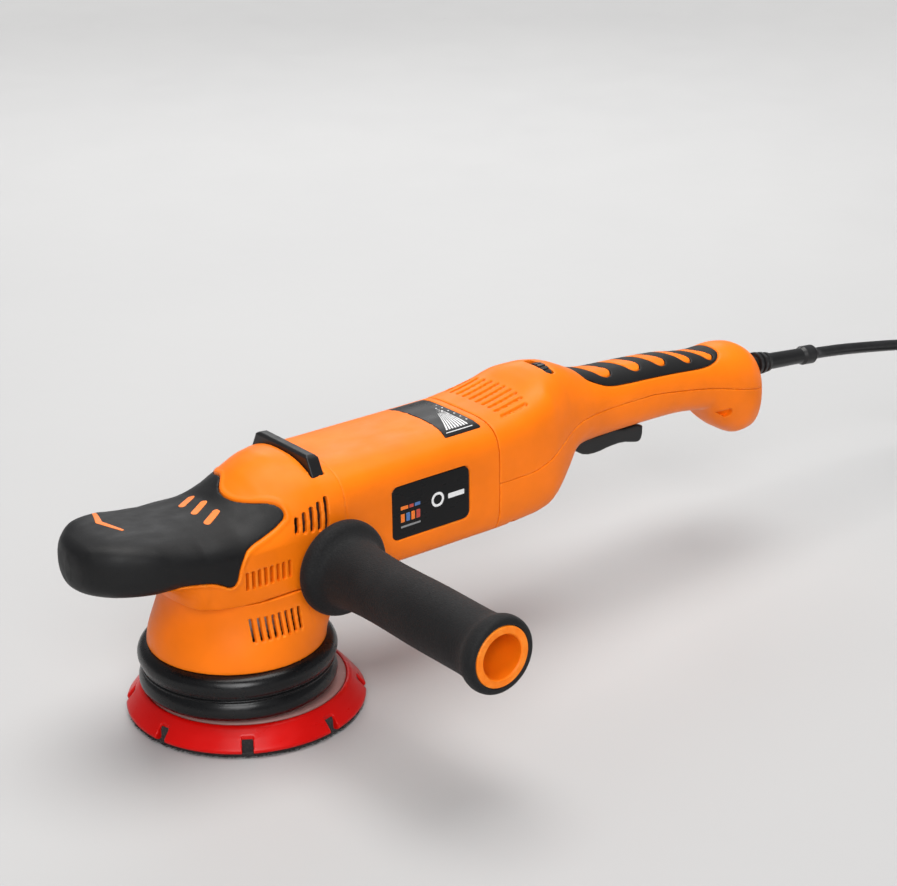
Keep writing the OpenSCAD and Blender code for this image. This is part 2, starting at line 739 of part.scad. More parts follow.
// Shallow grooves along the front of the hump
groove_pitch = 5.4;
groove_w = 2.3;
groove_depth = 1.4;
module hump_grooves() {
    difference() {
        for (i = [-4.5:4.5])
            translate([155, groove_pitch * i - groove_w / 2, 120])
                cube([20 - 0.13 * i * i, groove_w, 25]);
        form(REAR, groove_depth, 148, 190);
    }
}
module rear_upper_shell() {
    color([1, 0.45, 0.05])
    resize([0, 0, 0])
    difference() {
        intersection() {
            rear_body();
            above_parting(0.1);
        }
        difference() {
            inset_region();
            form(REAR, inset_t, 215, 340);
        }
        rear_screw_holes();
        hump_grooves();
        translate([dial_x - 3, dial_y - 11, 130]) cube([6, 22, 20]);
        relief_axis() cylinder(h = 30, r = 5.4, $fn = 32);
    }
}
module rear_lower_shell() {
    color([1, 0.42, 0.04])
    resize([0, 0, 0])
    difference() {
        union() {
            rear_body();
            for (side = [-1, 1])
                translate([222, side * 9.4 - 1, 93]) cube([8, 2, 5]);
        }
        above_parting(-0.1);
        rear_screw_holes();
        translate([221, -8.2, 80]) cube([55, 16.4, 18]);
        axis_y(226, 12, 95.4) cylinder(h = 24, r = 1.6, $fn = 24);
        axis_y(246, 30, 104) cylinder(h = 20, r = 4.9, $fn = 32);
    }
}
module handle_grip() {
    color([0.12, 0.12, 0.13])
    resize([0, 0, 0])
    intersection() {
        difference() {
            form(REAR, 0, 215, 340);
            form(REAR, inset_t - 0.02, 214, 341);
        }
        inset_region();
    }
}
module switch_body() {
    color([0.1, 0.1, 0.1])
    union() {
        translate([234, -8.5, 101]) cube([34, 17, 14]);
        translate([238, -6, 114.9]) cube([6, 12, 4]);
    }
}
module speed_board() {
    color([0.1, 0.35, 0.2])
    union() {
        translate([150, -21, 112]) cube([40, 42, 1.6]);
        translate([155, -18, 113.5]) cube([14, 10, 8]);
        translate([156, 6, 113.5]) cube([10, 14, 10]);
        translate([175, -8, 113.5]) cube([10, 18, 4]);
    }
}
module speed_dial() {
    color([0.1, 0.1, 0.1])
    difference() {
        axis_x(dial_x - 2.3, dial_y, dial_z) cylinder(h = 4.6, r = dial_r);
        axis_x(dial_x - 3, dial_y, dial_z) cylinder(h = 6, r = 3);
        for (a = [0:15:345])
            translate([dial_x - 3, dial_y, dial_z])
                rotate([a, 0, 0])
                    translate([0, -0.5, dial_r - 0.7]) cube([6, 1, 2]);
    }
}
trigger_pivot = [226, 95.4];
module trigger() {
    color([0.14, 0.14, 0.15])
    difference() {
        translate([0, 7.8, 0])
            rotate([90, 0, 0])
                linear_extrude(15.6)
                    polygon([[222, 97.5], [222, 90], [225, 86], [231, 82.4], [240, 81.6],
                        [250, 83], [260, 83], [268, 80.8], [272.5, 80], [275, 83], [275, 91.6],
                        [254, 91.6], [254, 97], [248, 97], [248, 92.6], [232, 92.6], [230, 97.5]]);
        axis_y(trigger_pivot[0], 10, trigger_pivot[1]) cylinder(h = 20, r = 1.5 + fit);
    }
}
module trigger_pin() {
    color([0.7, 0.71, 0.73])
    axis_y(trigger_pivot[0], 10.2, trigger_pivot[1]) cylinder(h = 20.4, r = 1.5);
}
module lock_button() {
    color([0.1, 0.1, 0.1])
    union() {
        axis_y(246, 18.6 + lock_travel, 104) cylinder(h = 6.8 + lock_travel, r = 4.5);
        axis_y(246, 12.3, 104) cylinder(h = 0.7, r = 5.5);
    }
}
module cord_clamp() {
    color([0.2, 0.2, 0.22])
    difference() {
        translate([343, -11, 99]) cube([7, 22, 12.5]);
        translate([342, -5.6, 98]) cube([9, 11.2, 10]);
        relief_axis()
            translate([0, 0, -20]) cylinder(h = 30, r = 4.8);
    }
}
module handle_screws() {
    color([0.3, 0.3, 0.32])
    for (p = REAR_SCREWS)
        translate([p[0], p[1], p[2]]) {
            cylinder(h = 20, r = 1.7);
            translate([0, 0, -2.3]) cylinder(h = 2.28, r = 3.2);
            translate([0, 0, -1]) cylinder(h = 2, r = 1.7);
        }
}
module strain_relief() {
    color([0.06, 0.06, 0.06])
    relief_axis()
        rotate_extrude($fn = 32)
            polygon([[0, -16], [4.6, -16], [4.6, 0], [5.2, 0.6], [5.2, 13.6], [7, 14], [7, 16],
                [5.4, 16.6], [5.4, 18], [6.6, 18.6], [6.6, 20.4], [5.2, 21], [5.2, 22.4], [6, 23],
                [6, 24.6], [5, 25.2], [4.7, 54], [5.8, 56], [5.8, 64], [4.4, 66.4], [0, 66.4]]);
}

// ---- Side handle ----
side_y = -40.2;
module side_axis() {
    translate([side_x, side_y, side_z]) rotate([90, 0, 0]) children();
}
module side_handle_grip() {
    color([0.1, 0.1, 0.1])
    side_axis()
        rotate_extrude($fn = 64)
            polygon([[13.1, 0], [19, 0], [20.4, 3.2], [24.2, 4], [25.2, 5.6], [25, 8.6],
                [23.4, 11.6], [20.4, 14], [17.6, 17], [16, 23], [15.7, 36], [16, 54], [16.5, 79],
                [16.3, 104], [16.7, 117], [17.8, 121.4], [19.2, 124.4], [19.6, 127.4],
                [19, 130.2], [17.6, side_l - 0.2], [15.4, side_l - 0.2], [15.4, 128], [13.1, 128]]);
}
module side_handle_core() {
    color([1, 0.42, 0.04])
    side_axis()
        rotate_extrude($fn = 64)
            polygon([[thread_r, 0.2], [13, 0.2], [13, 128.2], [15.3, 128.2], [15.3, side_l - 0.4],
                [14.8, side_l], [11.8, side_l], [11.2, side_l - 0.6], [11.2, 34], [thread_r, 34]]);
}
module side_handle_stud() {
    color([0.7, 0.71, 0.73])
    translate([side_x, side_y + 11, side_z])
        rotate([90, 0, 0])
            cylinder(h = 44, r = thread_r - 0.03);
}

// ---- Mains lead ----
// Middle of the stored coil, and the height it is tied up from the surface
coil_c = [606, -62];
tie_t = 0.8;
coil_r_out = coil_r_in + coil_turns * cord_d;
coil_layers = 4;
// Points of the lead from the strain relief to the coil
ROUTE = [[424, 0, 97.3], [440, 0, 95.4], [458, 0, 92.8], [478, 0, 89.5], [500, 0, 85.6],
    [516, 0, 82], [530, 0, 75.5], [542, 0, 66], [551, 0, 55], [559, 0, 43.5], [567, 0, 32],
    [577, 0, 20.5], [589, 0, 11], [603, 0, 5.6], [619, -1.5, 4.3], [636, -10, 4.3],
    [649, -25, 4.3]];
// Points of the lead from the coil to the plug
TAIL = [[584, -117.5, 23.6], [568, -118, 20.6], [552, -118, 18.6], [541, -118, 18.2]];
function unit(v) = v / norm(v);
function along(path, i) = unit(path[min(i + 1, len(path) - 1)] - path[max(i - 1, 0)]);
module tube(path, r) {
    skin([for (i = [0:len(path) - 1]) let (
        d = along(path, i),
        side = unit(cross([0, 0, 1], d)),
        up = cross(d, side))
        [for (k = [0:9]) path[i] + r * (cos(36 * k) * side + sin(36 * k) * up)]]);
}
module cord_lead() {
    color([0.05, 0.05, 0.05])
    union() {
        tube(ROUTE, cord_d / 2);
        tube(TAIL, cord_d / 2);
    }
}
module cord_coil() {
    color([0.05, 0.05, 0.05])
    translate([coil_c[0], coil_c[1], tie_t])
        rotate_extrude($fn = 64)
            translate([coil_r_in, cord_d / 2])
                hull_square(coil_r_out - coil_r_in, (coil_layers - 1) * cord_d, cord_d / 2);
}
// Rectangle with round corners of radius r about its own outline
module hull_square(w, h, r) {
    translate([-r, 0]) square([w + 2 * r, h]);
    translate([0, -r]) square([w, h + 2 * r]);
    for (x = [0, w], y = [0, h])
        translate([x, y]) circle(r = r, $fn = 24);
}
module cord_tie() {
    color([0.12, 0.12, 0.12])
    translate([coil_c[0], coil_c[1], 0])
        difference() {
            translate([coil_r_in - cord_d / 2 - 2, -5, 0])
                cube([coil_r_out - coil_r_in + cord_d + 4, 10, coil_layers * cord_d + 2 * tie_t]);
            translate([coil_r_in - cord_d / 2 - 0.9, -6, tie_t])
                cube([coil_r_out - coil_r_in + cord_d + 1.8, 12, coil_layers * cord_d]);
        }
}
module mains_plug() {
    color([0.08, 0.08, 0.08])
    translate([0, -118, 18.2])
        rotate([0, -90, 0])
            translate([0, 0, -541]) {
                rotate_extrude($fn = 48)
                    polygon([[0, 0], [5, 0], [6, 8], [8.4, 14], [12.6, 22], [17, 30], [18.1, 34],
                        [18.1, 45], [17, 46.5], [0, 46.5]]);
                for (y = [-9.5, 9.5])
                    translate([0, y, 46.4]) cylinder(h = 19, r = 2.4);
            }
}

head_cover();
head_grip();
head_bumper();
skirt_cover();
shroud();
gear_housing();
bearing_retainer();
retainer_screws();
motor_screws();
spindle_bearing_outer();
spindle_bearing_inner();
spindle_bush();
spindle();
bevel_gear();
counterweight();
eccentric_bearing_outers();
eccentric_bearing_inners();
plate_spindle();
backing_plate();
plate_disc();
hook_pad();
plate_bolt();
plate_washer();
motor_housing();
badge_left();
badge_right();
speed_label();
stator_core();
field_windings();
fan_baffle();
brush_plate();
brush_holders();
carbon_brushes();
armature_bearing_outers();
armature_bearing_inners();
armature_shaft();
armature_core();
armature_windings();
commutator();
fan();
pinion();
rear_upper_shell();
rear_lower_shell();
handle_grip();
switch_body();
speed_board();
speed_dial();
trigger();
trigger_pin();
lock_button();
cord_clamp();
handle_screws();
strain_relief();
side_handle_core();
side_handle_grip();
side_handle_stud();
cord_lead();
cord_coil();
cord_tie();
mains_plug();
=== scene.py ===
"""Looks of the dual action polisher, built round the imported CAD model.

Lengths are in millimetres until a mesh or curve is made, which happens in metres.
X runs from the drive axis to the tail, -Y is the side handle's side and Z is up.
"""
import json
import math

import bpy
import numpy as np
from mathutils import Matrix, Vector


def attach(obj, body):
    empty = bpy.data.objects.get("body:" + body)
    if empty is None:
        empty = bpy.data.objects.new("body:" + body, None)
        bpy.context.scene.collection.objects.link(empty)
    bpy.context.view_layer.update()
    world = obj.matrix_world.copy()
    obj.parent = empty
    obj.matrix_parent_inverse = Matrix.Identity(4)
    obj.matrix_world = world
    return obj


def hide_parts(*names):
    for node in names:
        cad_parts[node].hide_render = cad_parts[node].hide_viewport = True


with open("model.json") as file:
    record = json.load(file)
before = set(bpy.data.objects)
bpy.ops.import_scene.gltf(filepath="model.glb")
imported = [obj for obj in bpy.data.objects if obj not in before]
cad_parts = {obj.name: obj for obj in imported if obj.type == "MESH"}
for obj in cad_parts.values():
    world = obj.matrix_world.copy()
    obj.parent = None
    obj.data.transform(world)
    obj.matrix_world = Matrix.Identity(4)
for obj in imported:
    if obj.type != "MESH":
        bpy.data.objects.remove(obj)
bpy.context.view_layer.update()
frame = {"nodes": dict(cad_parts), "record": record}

MM = 0.001
RNG = np.random.default_rng(7)

# ---- camera

VIEW_RIGHT = Vector((0.78439, -0.62018, -0.01059))
VIEW_UP = Vector((0.23901, 0.28645, 0.92781))
VIEW_FORWARD = Vector((0.57237, 0.73029, -0.37291))
VIEW_FROM = Vector((-530.24, -853.81, 547.47)) * MM
LENS = 87.45

camera = bpy.data.objects.new("camera", bpy.data.cameras.new("camera"))
bpy.context.collection.objects.link(camera)
turn = Matrix((VIEW_RIGHT, VIEW_UP, -VIEW_FORWARD)).transposed()
camera.matrix_world = Matrix.Translation(VIEW_FROM) @ turn.to_4x4()
camera.data.lens = LENS
camera.data.sensor_width = 36
camera.data.clip_start = 0.01
bpy.context.scene.camera = camera

# ---- materials


class Graph:
    """A material with one Principled shader, and short calls that add nodes to it."""

    def __init__(self, name):
        self.material = bpy.data.materials.new(name)
        self.material.use_nodes = True
        self.tree = self.material.node_tree
        self.shader = self.tree.nodes["Principled BSDF"]
        self.place = self.add("ShaderNodeTexCoord").outputs["Object"]

    def add(self, kind, **values):
        node = self.tree.nodes.new(kind)
        for key, value in values.items():
            setattr(node, key, value)
        return node

    def link(self, source, target):
        self.tree.links.new(source, target)

    def stretched(self, scale):
        """The place on the object, stretched by a scale for each axis."""
        node = self.add("ShaderNodeMapping")
        node.inputs["Scale"].default_value = scale
        self.link(self.place, node.inputs["Vector"])
        return node.outputs["Vector"]

    def noise(self, size, detail=2.0, place=None, rough=0.55):
        """Noise whose blotches are about size millimetres across."""
        node = self.add("ShaderNodeTexNoise")
        node.inputs["Scale"].default_value = 1 / (size * MM)
        node.inputs["Detail"].default_value = detail
        node.inputs["Roughness"].default_value = rough
        self.link(place or self.place, node.inputs["Vector"])
        return node.outputs["Fac"]

    def cells(self, size, place=None):
        node = self.add("ShaderNodeTexVoronoi", feature="F1")
        node.inputs["Scale"].default_value = 1 / (size * MM)
        self.link(place or self.place, node.inputs["Vector"])
        return node.outputs["Distance"]

    def bands(self, axis, size, kind="SIN"):
        """Waves along one axis, size millimetres apart."""
        node = self.add("ShaderNodeTexWave", bands_direction=axis, wave_profile=kind)
        node.inputs["Scale"].default_value = math.pi / 10 / (size * MM)
        self.link(self.place, node.inputs["Vector"])
        return node.outputs["Fac"]

    def remap(self, source, low, high, to_low=0.0, to_high=1.0):
        node = self.add("ShaderNodeMapRange")
        for socket, value in zip(node.inputs[1:5], (low, high, to_low, to_high)):
            socket.default_value = value
        self.link(source, node.inputs["Value"])
        return node.outputs["Result"]

    def mix(self, factor, first, second):
        """A colour between two, each a colour or an output."""
        node = self.add("ShaderNodeMix", data_type="RGBA")
        self.link(factor, node.inputs["Factor"])
        for socket, value in zip((node.inputs[6], node.inputs[7]), (first, second)):
            if isinstance(value, tuple):
                socket.default_value = (*value, 1)
            else:
                self.link(value, socket)
        return node.outputs[2]

    def times(self, first, second):
        node = self.add("ShaderNodeMath", operation="MULTIPLY")
        for socket, value in zip(node.inputs, (first, second)):
            if isinstance(value, float):
                socket.default_value = value
            else:
                self.link(value, socket)
        return node.outputs["Value"]

    def edges(self, low=0.53, high=0.6):
        """1 along outer edges, 0 elsewhere."""
        shape = self.add("ShaderNodeNewGeometry").outputs["Pointiness"]
        return self.remap(shape, low, high)

    def set(self, socket, value):
        self.shader.inputs[socket].default_value = value

    def colour(self, source):
        self.link(source, self.shader.inputs["Base Color"])

    def rough(self, source):
        self.link(source, self.shader.inputs["Roughness"])

    def bump(self, *layers):
        """Bumps on top of each other, each (height output, depth in millimetres, strength)."""
        normal = None
        for height, depth, strength in layers:
            node = self.add("ShaderNodeBump")
            node.inputs["Distance"].default_value = depth * MM
            node.inputs["Strength"].default_value = strength
            self.link(height, node.inputs["Height"])
            if normal:
                self.link(normal, node.inputs["Normal"])
            normal = node.outputs["Normal"]
        self.link(normal, self.shader.inputs["Normal"])


def moulded(name, base, worn, rough, grain, depth, specular=0.5, dust=None):
    """Moulded plastic or rubber: drifting colour, pale worn edges, grain and smears."""
    graph = Graph(name)
    darker = tuple(value * 0.86 for value in base)
    drift = graph.remap(graph.noise(35, 3), 0.35, 0.7)
    body = graph.mix(drift, base, darker)
    if dust:
        specks = graph.remap(graph.noise(6, 8, rough=0.75), 0.56, 0.78, 0.0, 0.5)
        body = graph.mix(specks, body, dust)
    wear = graph.times(graph.edges(), graph.remap(graph.noise(5, 6), 0.42, 0.62, 0.15, 0.75))
    graph.colour(graph.mix(wear, body, worn))
    smear = graph.noise(14, 5, graph.stretched((1.0, 1.7, 2.4)))
    graph.rough(graph.remap(smear, 0.3, 0.72, rough - 0.06, rough + 0.08))
    pits = graph.cells(grain)
    graph.bump((pits, depth, 0.55), (graph.noise(grain * 0.6, 2), depth * 0.6, 0.4),
               (graph.noise(18, 2), 0.05, 0.3))
    graph.set("Specular IOR Level", specular)
    return graph.material


def metal(name, base, stain, rough, grain, depth, stretch=(1.0, 1.0, 1.0), amount=0.5):
    """Bare metal: stained, brushed or cast by how the grain is stretched."""
    graph = Graph(name)
    patches = graph.remap(graph.noise(9, 6), 0.4, 0.7, 0.0, amount)
    bright = tuple(min(1.0, value * 1.25) for value in base)
    body = graph.mix(patches, base, stain)
    graph.colour(graph.mix(graph.times(graph.edges(), 0.6), body, bright))
    grains = graph.noise(grain, 4, graph.stretched(stretch))
    graph.rough(graph.remap(grains, 0.3, 0.7, rough - 0.08, rough + 0.1))
    graph.bump((grains, depth, 0.5))
    graph.set("Metallic", 1.0)
    return graph.material


def make_wound_copper():
    graph = Graph("copper")
    # Painted shade and highlight: each turn of wire is dark where it dips between its neighbours and light
    # on its crown, on top of the bump
    strands = graph.bands("Z", 1.1)
    shade = graph.remap(strands, 0.0, 1.0)
    graph.colour(graph.mix(shade, (0.28, 0.07, 0.02), (0.72, 0.26, 0.09)))
    graph.rough(graph.remap(graph.noise(3, 3), 0.3, 0.7, 0.28, 0.46))
    graph.bump((strands, 0.35, 0.8), (graph.noise(0.8, 2), 0.06, 0.4))
    graph.set("Metallic", 1.0)
    return graph.material


def make_laminated_iron():
    graph = Graph("iron")
    sheets = graph.bands("X", 0.8, "SAW")
    rust = graph.remap(graph.noise(7, 6), 0.52, 0.72, 0.0, 0.55)
    body = graph.mix(sheets, (0.22, 0.22, 0.23), (0.34, 0.34, 0.35))
    graph.colour(graph.mix(rust, body, (0.2, 0.13, 0.09)))
    graph.rough(graph.remap(graph.noise(1.2, 4), 0.3, 0.7, 0.42, 0.62))
    graph.bump((sheets, 0.12, 0.5), (graph.noise(0.7, 4), 0.12, 0.5))
    graph.set("Metallic", 0.9)
    return graph.material


def make_hook_fabric():
    graph = Graph("hook_fabric")
    fuzz = graph.noise(0.9, 6, rough=0.8)
    tone = graph.remap(fuzz, 0.35, 0.7)
    graph.colour(graph.mix(tone, (0.004, 0.0035, 0.004), (0.035, 0.029, 0.03)))
    graph.rough(graph.remap(fuzz, 0.3, 0.7, 0.85, 0.98))
    graph.bump((fuzz, 0.6, 1.0), (graph.cells(1.4), 0.4, 0.6))
    graph.set("Sheen Weight", 0.12)
    graph.set("Sheen Roughness", 0.4)
    return graph.material


def make_foam():
    """Matt foam rubber, as on the side handle: a fine open grain."""
    graph = Graph("handle_foam")
    cells = graph.cells(0.75)
    tone = graph.remap(graph.noise(22, 4), 0.35, 0.7)
    body = graph.mix(tone, (0.0035, 0.0035, 0.004), (0.008, 0.008, 0.0085))
    wear = graph.times(graph.edges(0.52, 0.62), graph.remap(graph.noise(4, 5), 0.35, 0.6, 0.2, 0.8))
    graph.colour(graph.mix(wear, body, (0.07, 0.07, 0.074)))
    graph.rough(graph.remap(graph.noise(1.1, 5), 0.3, 0.7, 0.62, 0.8))
    graph.bump((cells, 0.22, 0.7), (graph.noise(0.45, 3), 0.12, 0.6))
    graph.set("Specular IOR Level", 0.25)
    graph.set("Sheen Weight", 0.04)
    graph.set("Sheen Roughness", 0.5)
    return graph.material


def make_board():
    graph = Graph("board_green")
    tracks = graph.cells(2.6)
    line = graph.remap(tracks, 0.42, 0.5)
    graph.colour(graph.mix(line, (0.01, 0.09, 0.035), (0.03, 0.2, 0.07)))
    graph.rough(graph.remap(graph.noise(2, 3), 0.3, 0.7, 0.25, 0.45))
    graph.bump((line, 0.08, 0.6))
    return graph.material


def grey(value, blue=0.0):
    return value, value, value + blue


ORANGE = (0.93, 0.19, 0.004)
PALE_ORANGE = (0.98, 0.33, 0.04)
PRINT = (0.34, 0.9, 0.015)
# Colour, colour of worn edges, roughness, size and depth of the grain, specular level, dust
MOULDED = {
    "orange_shell": (ORANGE, PALE_ORANGE, 0.4, 0.55, 0.03, 0.16),
    "soft_grip": (grey(0.006, 0.0005), grey(0.04, 0.003), 0.5, 0.6, 0.08, 0.26, (0.013, 0.0125, 0.0125)),
    "black_plastic": (grey(0.009, 0.0005), grey(0.05, 0.003), 0.4, 0.7, 0.05, 0.35),
    "shroud_rubber": (grey(0.005, 0.0005), grey(0.04, 0.003), 0.27, 1.1, 0.02, 0.3,
                      (0.012, 0.0115, 0.0115)),
    "red_plate": ((0.58, 0.003, 0.002), (0.8, 0.03, 0.02), 0.32, 0.9, 0.02, 0.2),
    "plate_disc": ((0.34, 0.17, 0.155), (0.5, 0.33, 0.3), 0.52, 0.8, 0.06, 0.5, (0.44, 0.36, 0.34)),
    "carbon": (grey(0.025, 0.002), grey(0.12), 0.5, 0.5, 0.06),
    "fan_nylon": ((0.55, 0.54, 0.48), (0.7, 0.69, 0.64), 0.45, 0.9, 0.04, 0.5, (0.3, 0.28, 0.25)),
    "label": (grey(0.007, 0.0005), grey(0.04, 0.005), 0.3, 1.3, 0.012, 0.14),
    "lead": (grey(0.009, 0.0005), grey(0.05, 0.002), 0.33, 1.2, 0.03, 0.4),
    "print_orange": ((0.9, 0.19, 0.012), PALE_ORANGE, 0.42, 0.5, 0.03),
    "print_pale": (grey(0.8), grey(0.88), *PRINT),
    "print_grey": ((0.24, 0.245, 0.25), grey(0.4), *PRINT),
    "print_blue": ((0.06, 0.16, 0.42), (0.2, 0.3, 0.5), *PRINT),
    "print_red": ((0.5, 0.05, 0.03), (0.6, 0.2, 0.15), *PRINT),
}
# Colour, colour of stains, roughness, size and depth of the grain, its stretch, share of stains
METALS = {
    "cast_alloy": ((0.52, 0.53, 0.55), (0.3, 0.3, 0.31), 0.46, 0.7, 0.12),
    "steel": ((0.6, 0.6, 0.62), (0.4, 0.38, 0.36), 0.26, 0.35, 0.02, (1.0, 1.0, 9.0), 0.3),
    "dark_steel": ((0.13, 0.13, 0.14), (0.06, 0.055, 0.05), 0.38, 0.5, 0.03),
    "bronze": ((0.62, 0.37, 0.13), (0.33, 0.2, 0.09), 0.36, 0.5, 0.03),
}
MATERIALS = {
    **{name: moulded(name, *look) for name, look in MOULDED.items()},
    **{name: metal(name, *look) for name, look in METALS.items()},
    "copper": make_wound_copper(),
    "iron": make_laminated_iron(),
    "hook_fabric": make_hook_fabric(),
    "handle_foam": make_foam(),
    "board_green": make_board(),
}


# Each CAD node takes the material of its slot
for part in frame["record"]["subparts"]:
    for material_slot in frame["nodes"][part["node"]].material_slots:
        material_slot.material = MATERIALS[part["material_slot"]]

# ---- pieces and curves


def add_piece(name, points, faces, body, slot, replaced=(), material=None, sharp=38):
    """A piece from points in millimetres, riding on a body."""
    mesh = bpy.data.meshes.new(name)
    mesh.from_pydata((np.asarray(points) * MM).tolist(), [], faces)
    mesh.validate()
    mesh.shade_smooth()
    mesh.set_sharp_from_angle(angle=math.radians(sharp))
    piece = bpy.data.objects.new(name, mesh)
    bpy.context.collection.objects.link(piece)
    mesh.materials.append(material or MATERIALS[slot])
    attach(piece, body)
    if replaced:
        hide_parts(*replaced)
    return piece


def smooth_path(points, steps):
    """Points of a smooth curve through the given ones, steps to each stretch."""
    points = np.asarray(points, float)
    ends = np.vstack([2 * points[0] - points[1], points, 2 * points[-1] - points[-2]])
    result = []
    for i in range(1, len(ends) - 2):
        p0, p1, p2, p3 = ends[i - 1:i + 3]
        for t in np.arange(steps) / steps:
            result.append(0.5 * (2 * p1 + (p2 - p0) * t + (2 * p0 - 5 * p1 + 4 * p2 - p3) * t * t
                                 + (3 * p1 - p0 - 3 * p2 + p3) * t ** 3))
    return np.array(result + [points[-1]])


# ---- mains lead

CORD_D = 7
# Points of the lead from the strain relief to the coil, and from the coil to the plug
ROUTE = [[424, 0, 97.3], [440, 0, 95.4], [458, 0, 92.8], [478, 0, 89.5], [500, 0, 85.6],
         [516, 0, 82], [530, 0, 75.5], [542, 0, 66], [551, 0, 55], [559, 0, 43.5], [567, 0, 32],
         [577, 0, 20.5], [589, 0, 11], [603, 0, 5.6], [619, -1.5, 4.3], [636, -10, 4.3],
         [649, -25, 4.3]]
TAIL = [[584, -117.5, 23.6], [568, -118, 20.6], [552, -118, 18.6], [541, -118, 18.2]]
COIL_CENTRE = (606, -62)
COIL_IN = 30
COIL_TURNS = 3.5
COIL_OUT = COIL_IN + COIL_TURNS * CORD_D
COIL_LAYERS = 4
COIL_FLOOR = 0.8
# Share of a turn before and after the middle of each climb to the next layer
CLIMB = 1 / 12


def coil_points():
    """The lead's turns: in and out in flat spirals, one layer on another."""
    entry = math.atan2(ROUTE[-1][1] - COIL_CENTRE[1], ROUTE[-1][0] - COIL_CENTRE[0])
    lead_in = (entry + math.pi / 2) / math.tau
    total = lead_in + COIL_LAYERS * COIL_TURNS
    points = []
    for turn in np.arange(0.04, total, 1 / 24):
        wound = turn - lead_in
        layer = min(COIL_LAYERS - 1, max(0, int(wound // COIL_TURNS)))
        share = wound / COIL_TURNS - layer
        spiral = share * COIL_TURNS * CORD_D
        radius = COIL_OUT - spiral if layer % 2 == 0 else COIL_IN + spiral
        height = 0.0
        for step in range(1, COIL_LAYERS):
            rise = np.clip((wound - step * COIL_TURNS) / (2 * CLIMB) + 0.5, 0, 1)
            height += rise * rise * (3 - 2 * rise)
        angle = entry - turn * math.tau
        points.append([COIL_CENTRE[0] + radius * math.cos(angle), COIL_CENTRE[1] + radius * math.sin(angle),
                       COIL_FLOOR + CORD_D / 2 + CORD_D * height])
    return points


def make_cord():
    path = smooth_path(ROUTE + coil_points() + TAIL, 3)
    curve = bpy.data.curves.new("mains_lead", "CURVE")
    curve.dimensions = "3D"
    spline = curve.splines.new("POLY")
    spline.points.add(len(path) - 1)
    flat = np.hstack([path * MM, np.ones((len(path), 1))])
    spline.points.foreach_set("co", flat.ravel())
    spline.use_smooth = True
    curve.bevel_depth = CORD_D / 2 * MM
    curve.bevel_resolution = 4
    curve.use_fill_caps = True
    lead = bpy.data.objects.new("mains_lead", curve)
    bpy.context.collection.objects.link(lead)
    curve.materials.append(MATERIALS["lead"])
    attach(lead, "polisher")
    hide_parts("cord_lead", "cord_coil")


make_cord()

# ---- floor and light


def add_light(kind, name, place, target, power, size, colour=(1, 1, 1)):
    """A sun whose size is its spread in degrees, or a panel whose size is its sides in metres."""
    data = bpy.data.lights.new(name, kind)
    if kind == "SUN":
        data.angle = math.radians(size)
    else:
        data.shape = "RECTANGLE"
        data.size, data.size_y = size
    data.energy = power
    data.color = colour
    lamp = bpy.data.objects.new(name, data)
    bpy.context.collection.objects.link(lamp)
    lamp.location = place
    lamp.rotation_euler = (Vector(target) - Vector(place)).to_track_quat("-Z", "Y").to_euler()


bpy.ops.mesh.primitive_plane_add(size=80, location=(0.3, 0.6, 0))
floor = bpy.context.object
floor.name = "floor"
paint = Graph("studio_floor")
paint.colour(paint.mix(paint.noise(400, 2), (0.42, 0.42, 0.424), (0.45, 0.45, 0.45)))
paint.rough(paint.remap(paint.noise(60, 3), 0.3, 0.7, 0.55, 0.62))
floor.data.materials.append(paint.material)

MIDDLE = (0.12, 0, 0.08)
add_light("SUN", "overhead", (0.25, 0.1, 1.5), MIDDLE, 3.1, 50, (1, 0.985, 0.96))
add_light("SUN", "key", (-0.8, -1.4, 1.1), MIDDLE, 2.2, 34)
add_light("AREA", "rim", (0.9, 1.1, 0.8), MIDDLE, 4, (1.0, 0.5))
world = bpy.data.worlds.new("studio")
world.use_nodes = True
backdrop = world.node_tree.nodes["Background"]
backdrop.inputs["Color"].default_value = (0.94, 0.96, 1, 1)
backdrop.inputs["Strength"].default_value = 0.24
bpy.context.scene.world = world
bpy.context.scene.view_settings.view_transform = "Standard"

# ---- distances in millimetres
# A shape is a function of x, y and z that gives the distance to its surface, negative inside.


def both(first, second, blend=0.0):
    """What lies in both shapes, with edges rounded by blend."""
    if not blend:
        return np.maximum(first, second)
    near = np.maximum(blend - np.abs(first - second), 0)
    return np.maximum(first, second) + near * near / (4 * blend)


def either(first, second, blend=0.0):
    return -both(-first, -second, blend)


def without(first, second, blend=0.0):
    return both(first, -second, blend)


def ramp(value, low, high):
    share = np.clip((value - low) / (high - low), 0, 1)
    return share * share * (3 - 2 * share)


def soften(points, passes=2):
    """An outline with its corners cut, twice as many points each pass."""
    points = np.asarray(points, float)
    for _ in range(passes):
        after = np.roll(points, -1, axis=0)
        points = np.stack([points * 0.75 + after * 0.25, points * 0.25 + after * 0.75], 1).reshape(-1, 2)
    return points


def outline_distance(u, v, points):
    """Distance to a closed outline in a plane."""
    u, v = np.broadcast_arrays(u, v)
    best = np.full(u.shape, np.inf)
    inside = np.zeros(u.shape, bool)
    for (au, av), (bu, bv) in zip(points, np.roll(points, -1, axis=0)):
        du, dv = bu - au, bv - av
        share = np.clip(((u - au) * du + (v - av) * dv) / (du * du + dv * dv), 0, 1)
        best = np.minimum(best, (u - au - share * du) ** 2 + (v - av - share * dv) ** 2)
        if dv:
            crosses = (av > v) != (bv > v)
            inside ^= crosses & (u < au + (v - av) * du / dv)
    return np.where(inside, -1, 1) * np.sqrt(best)


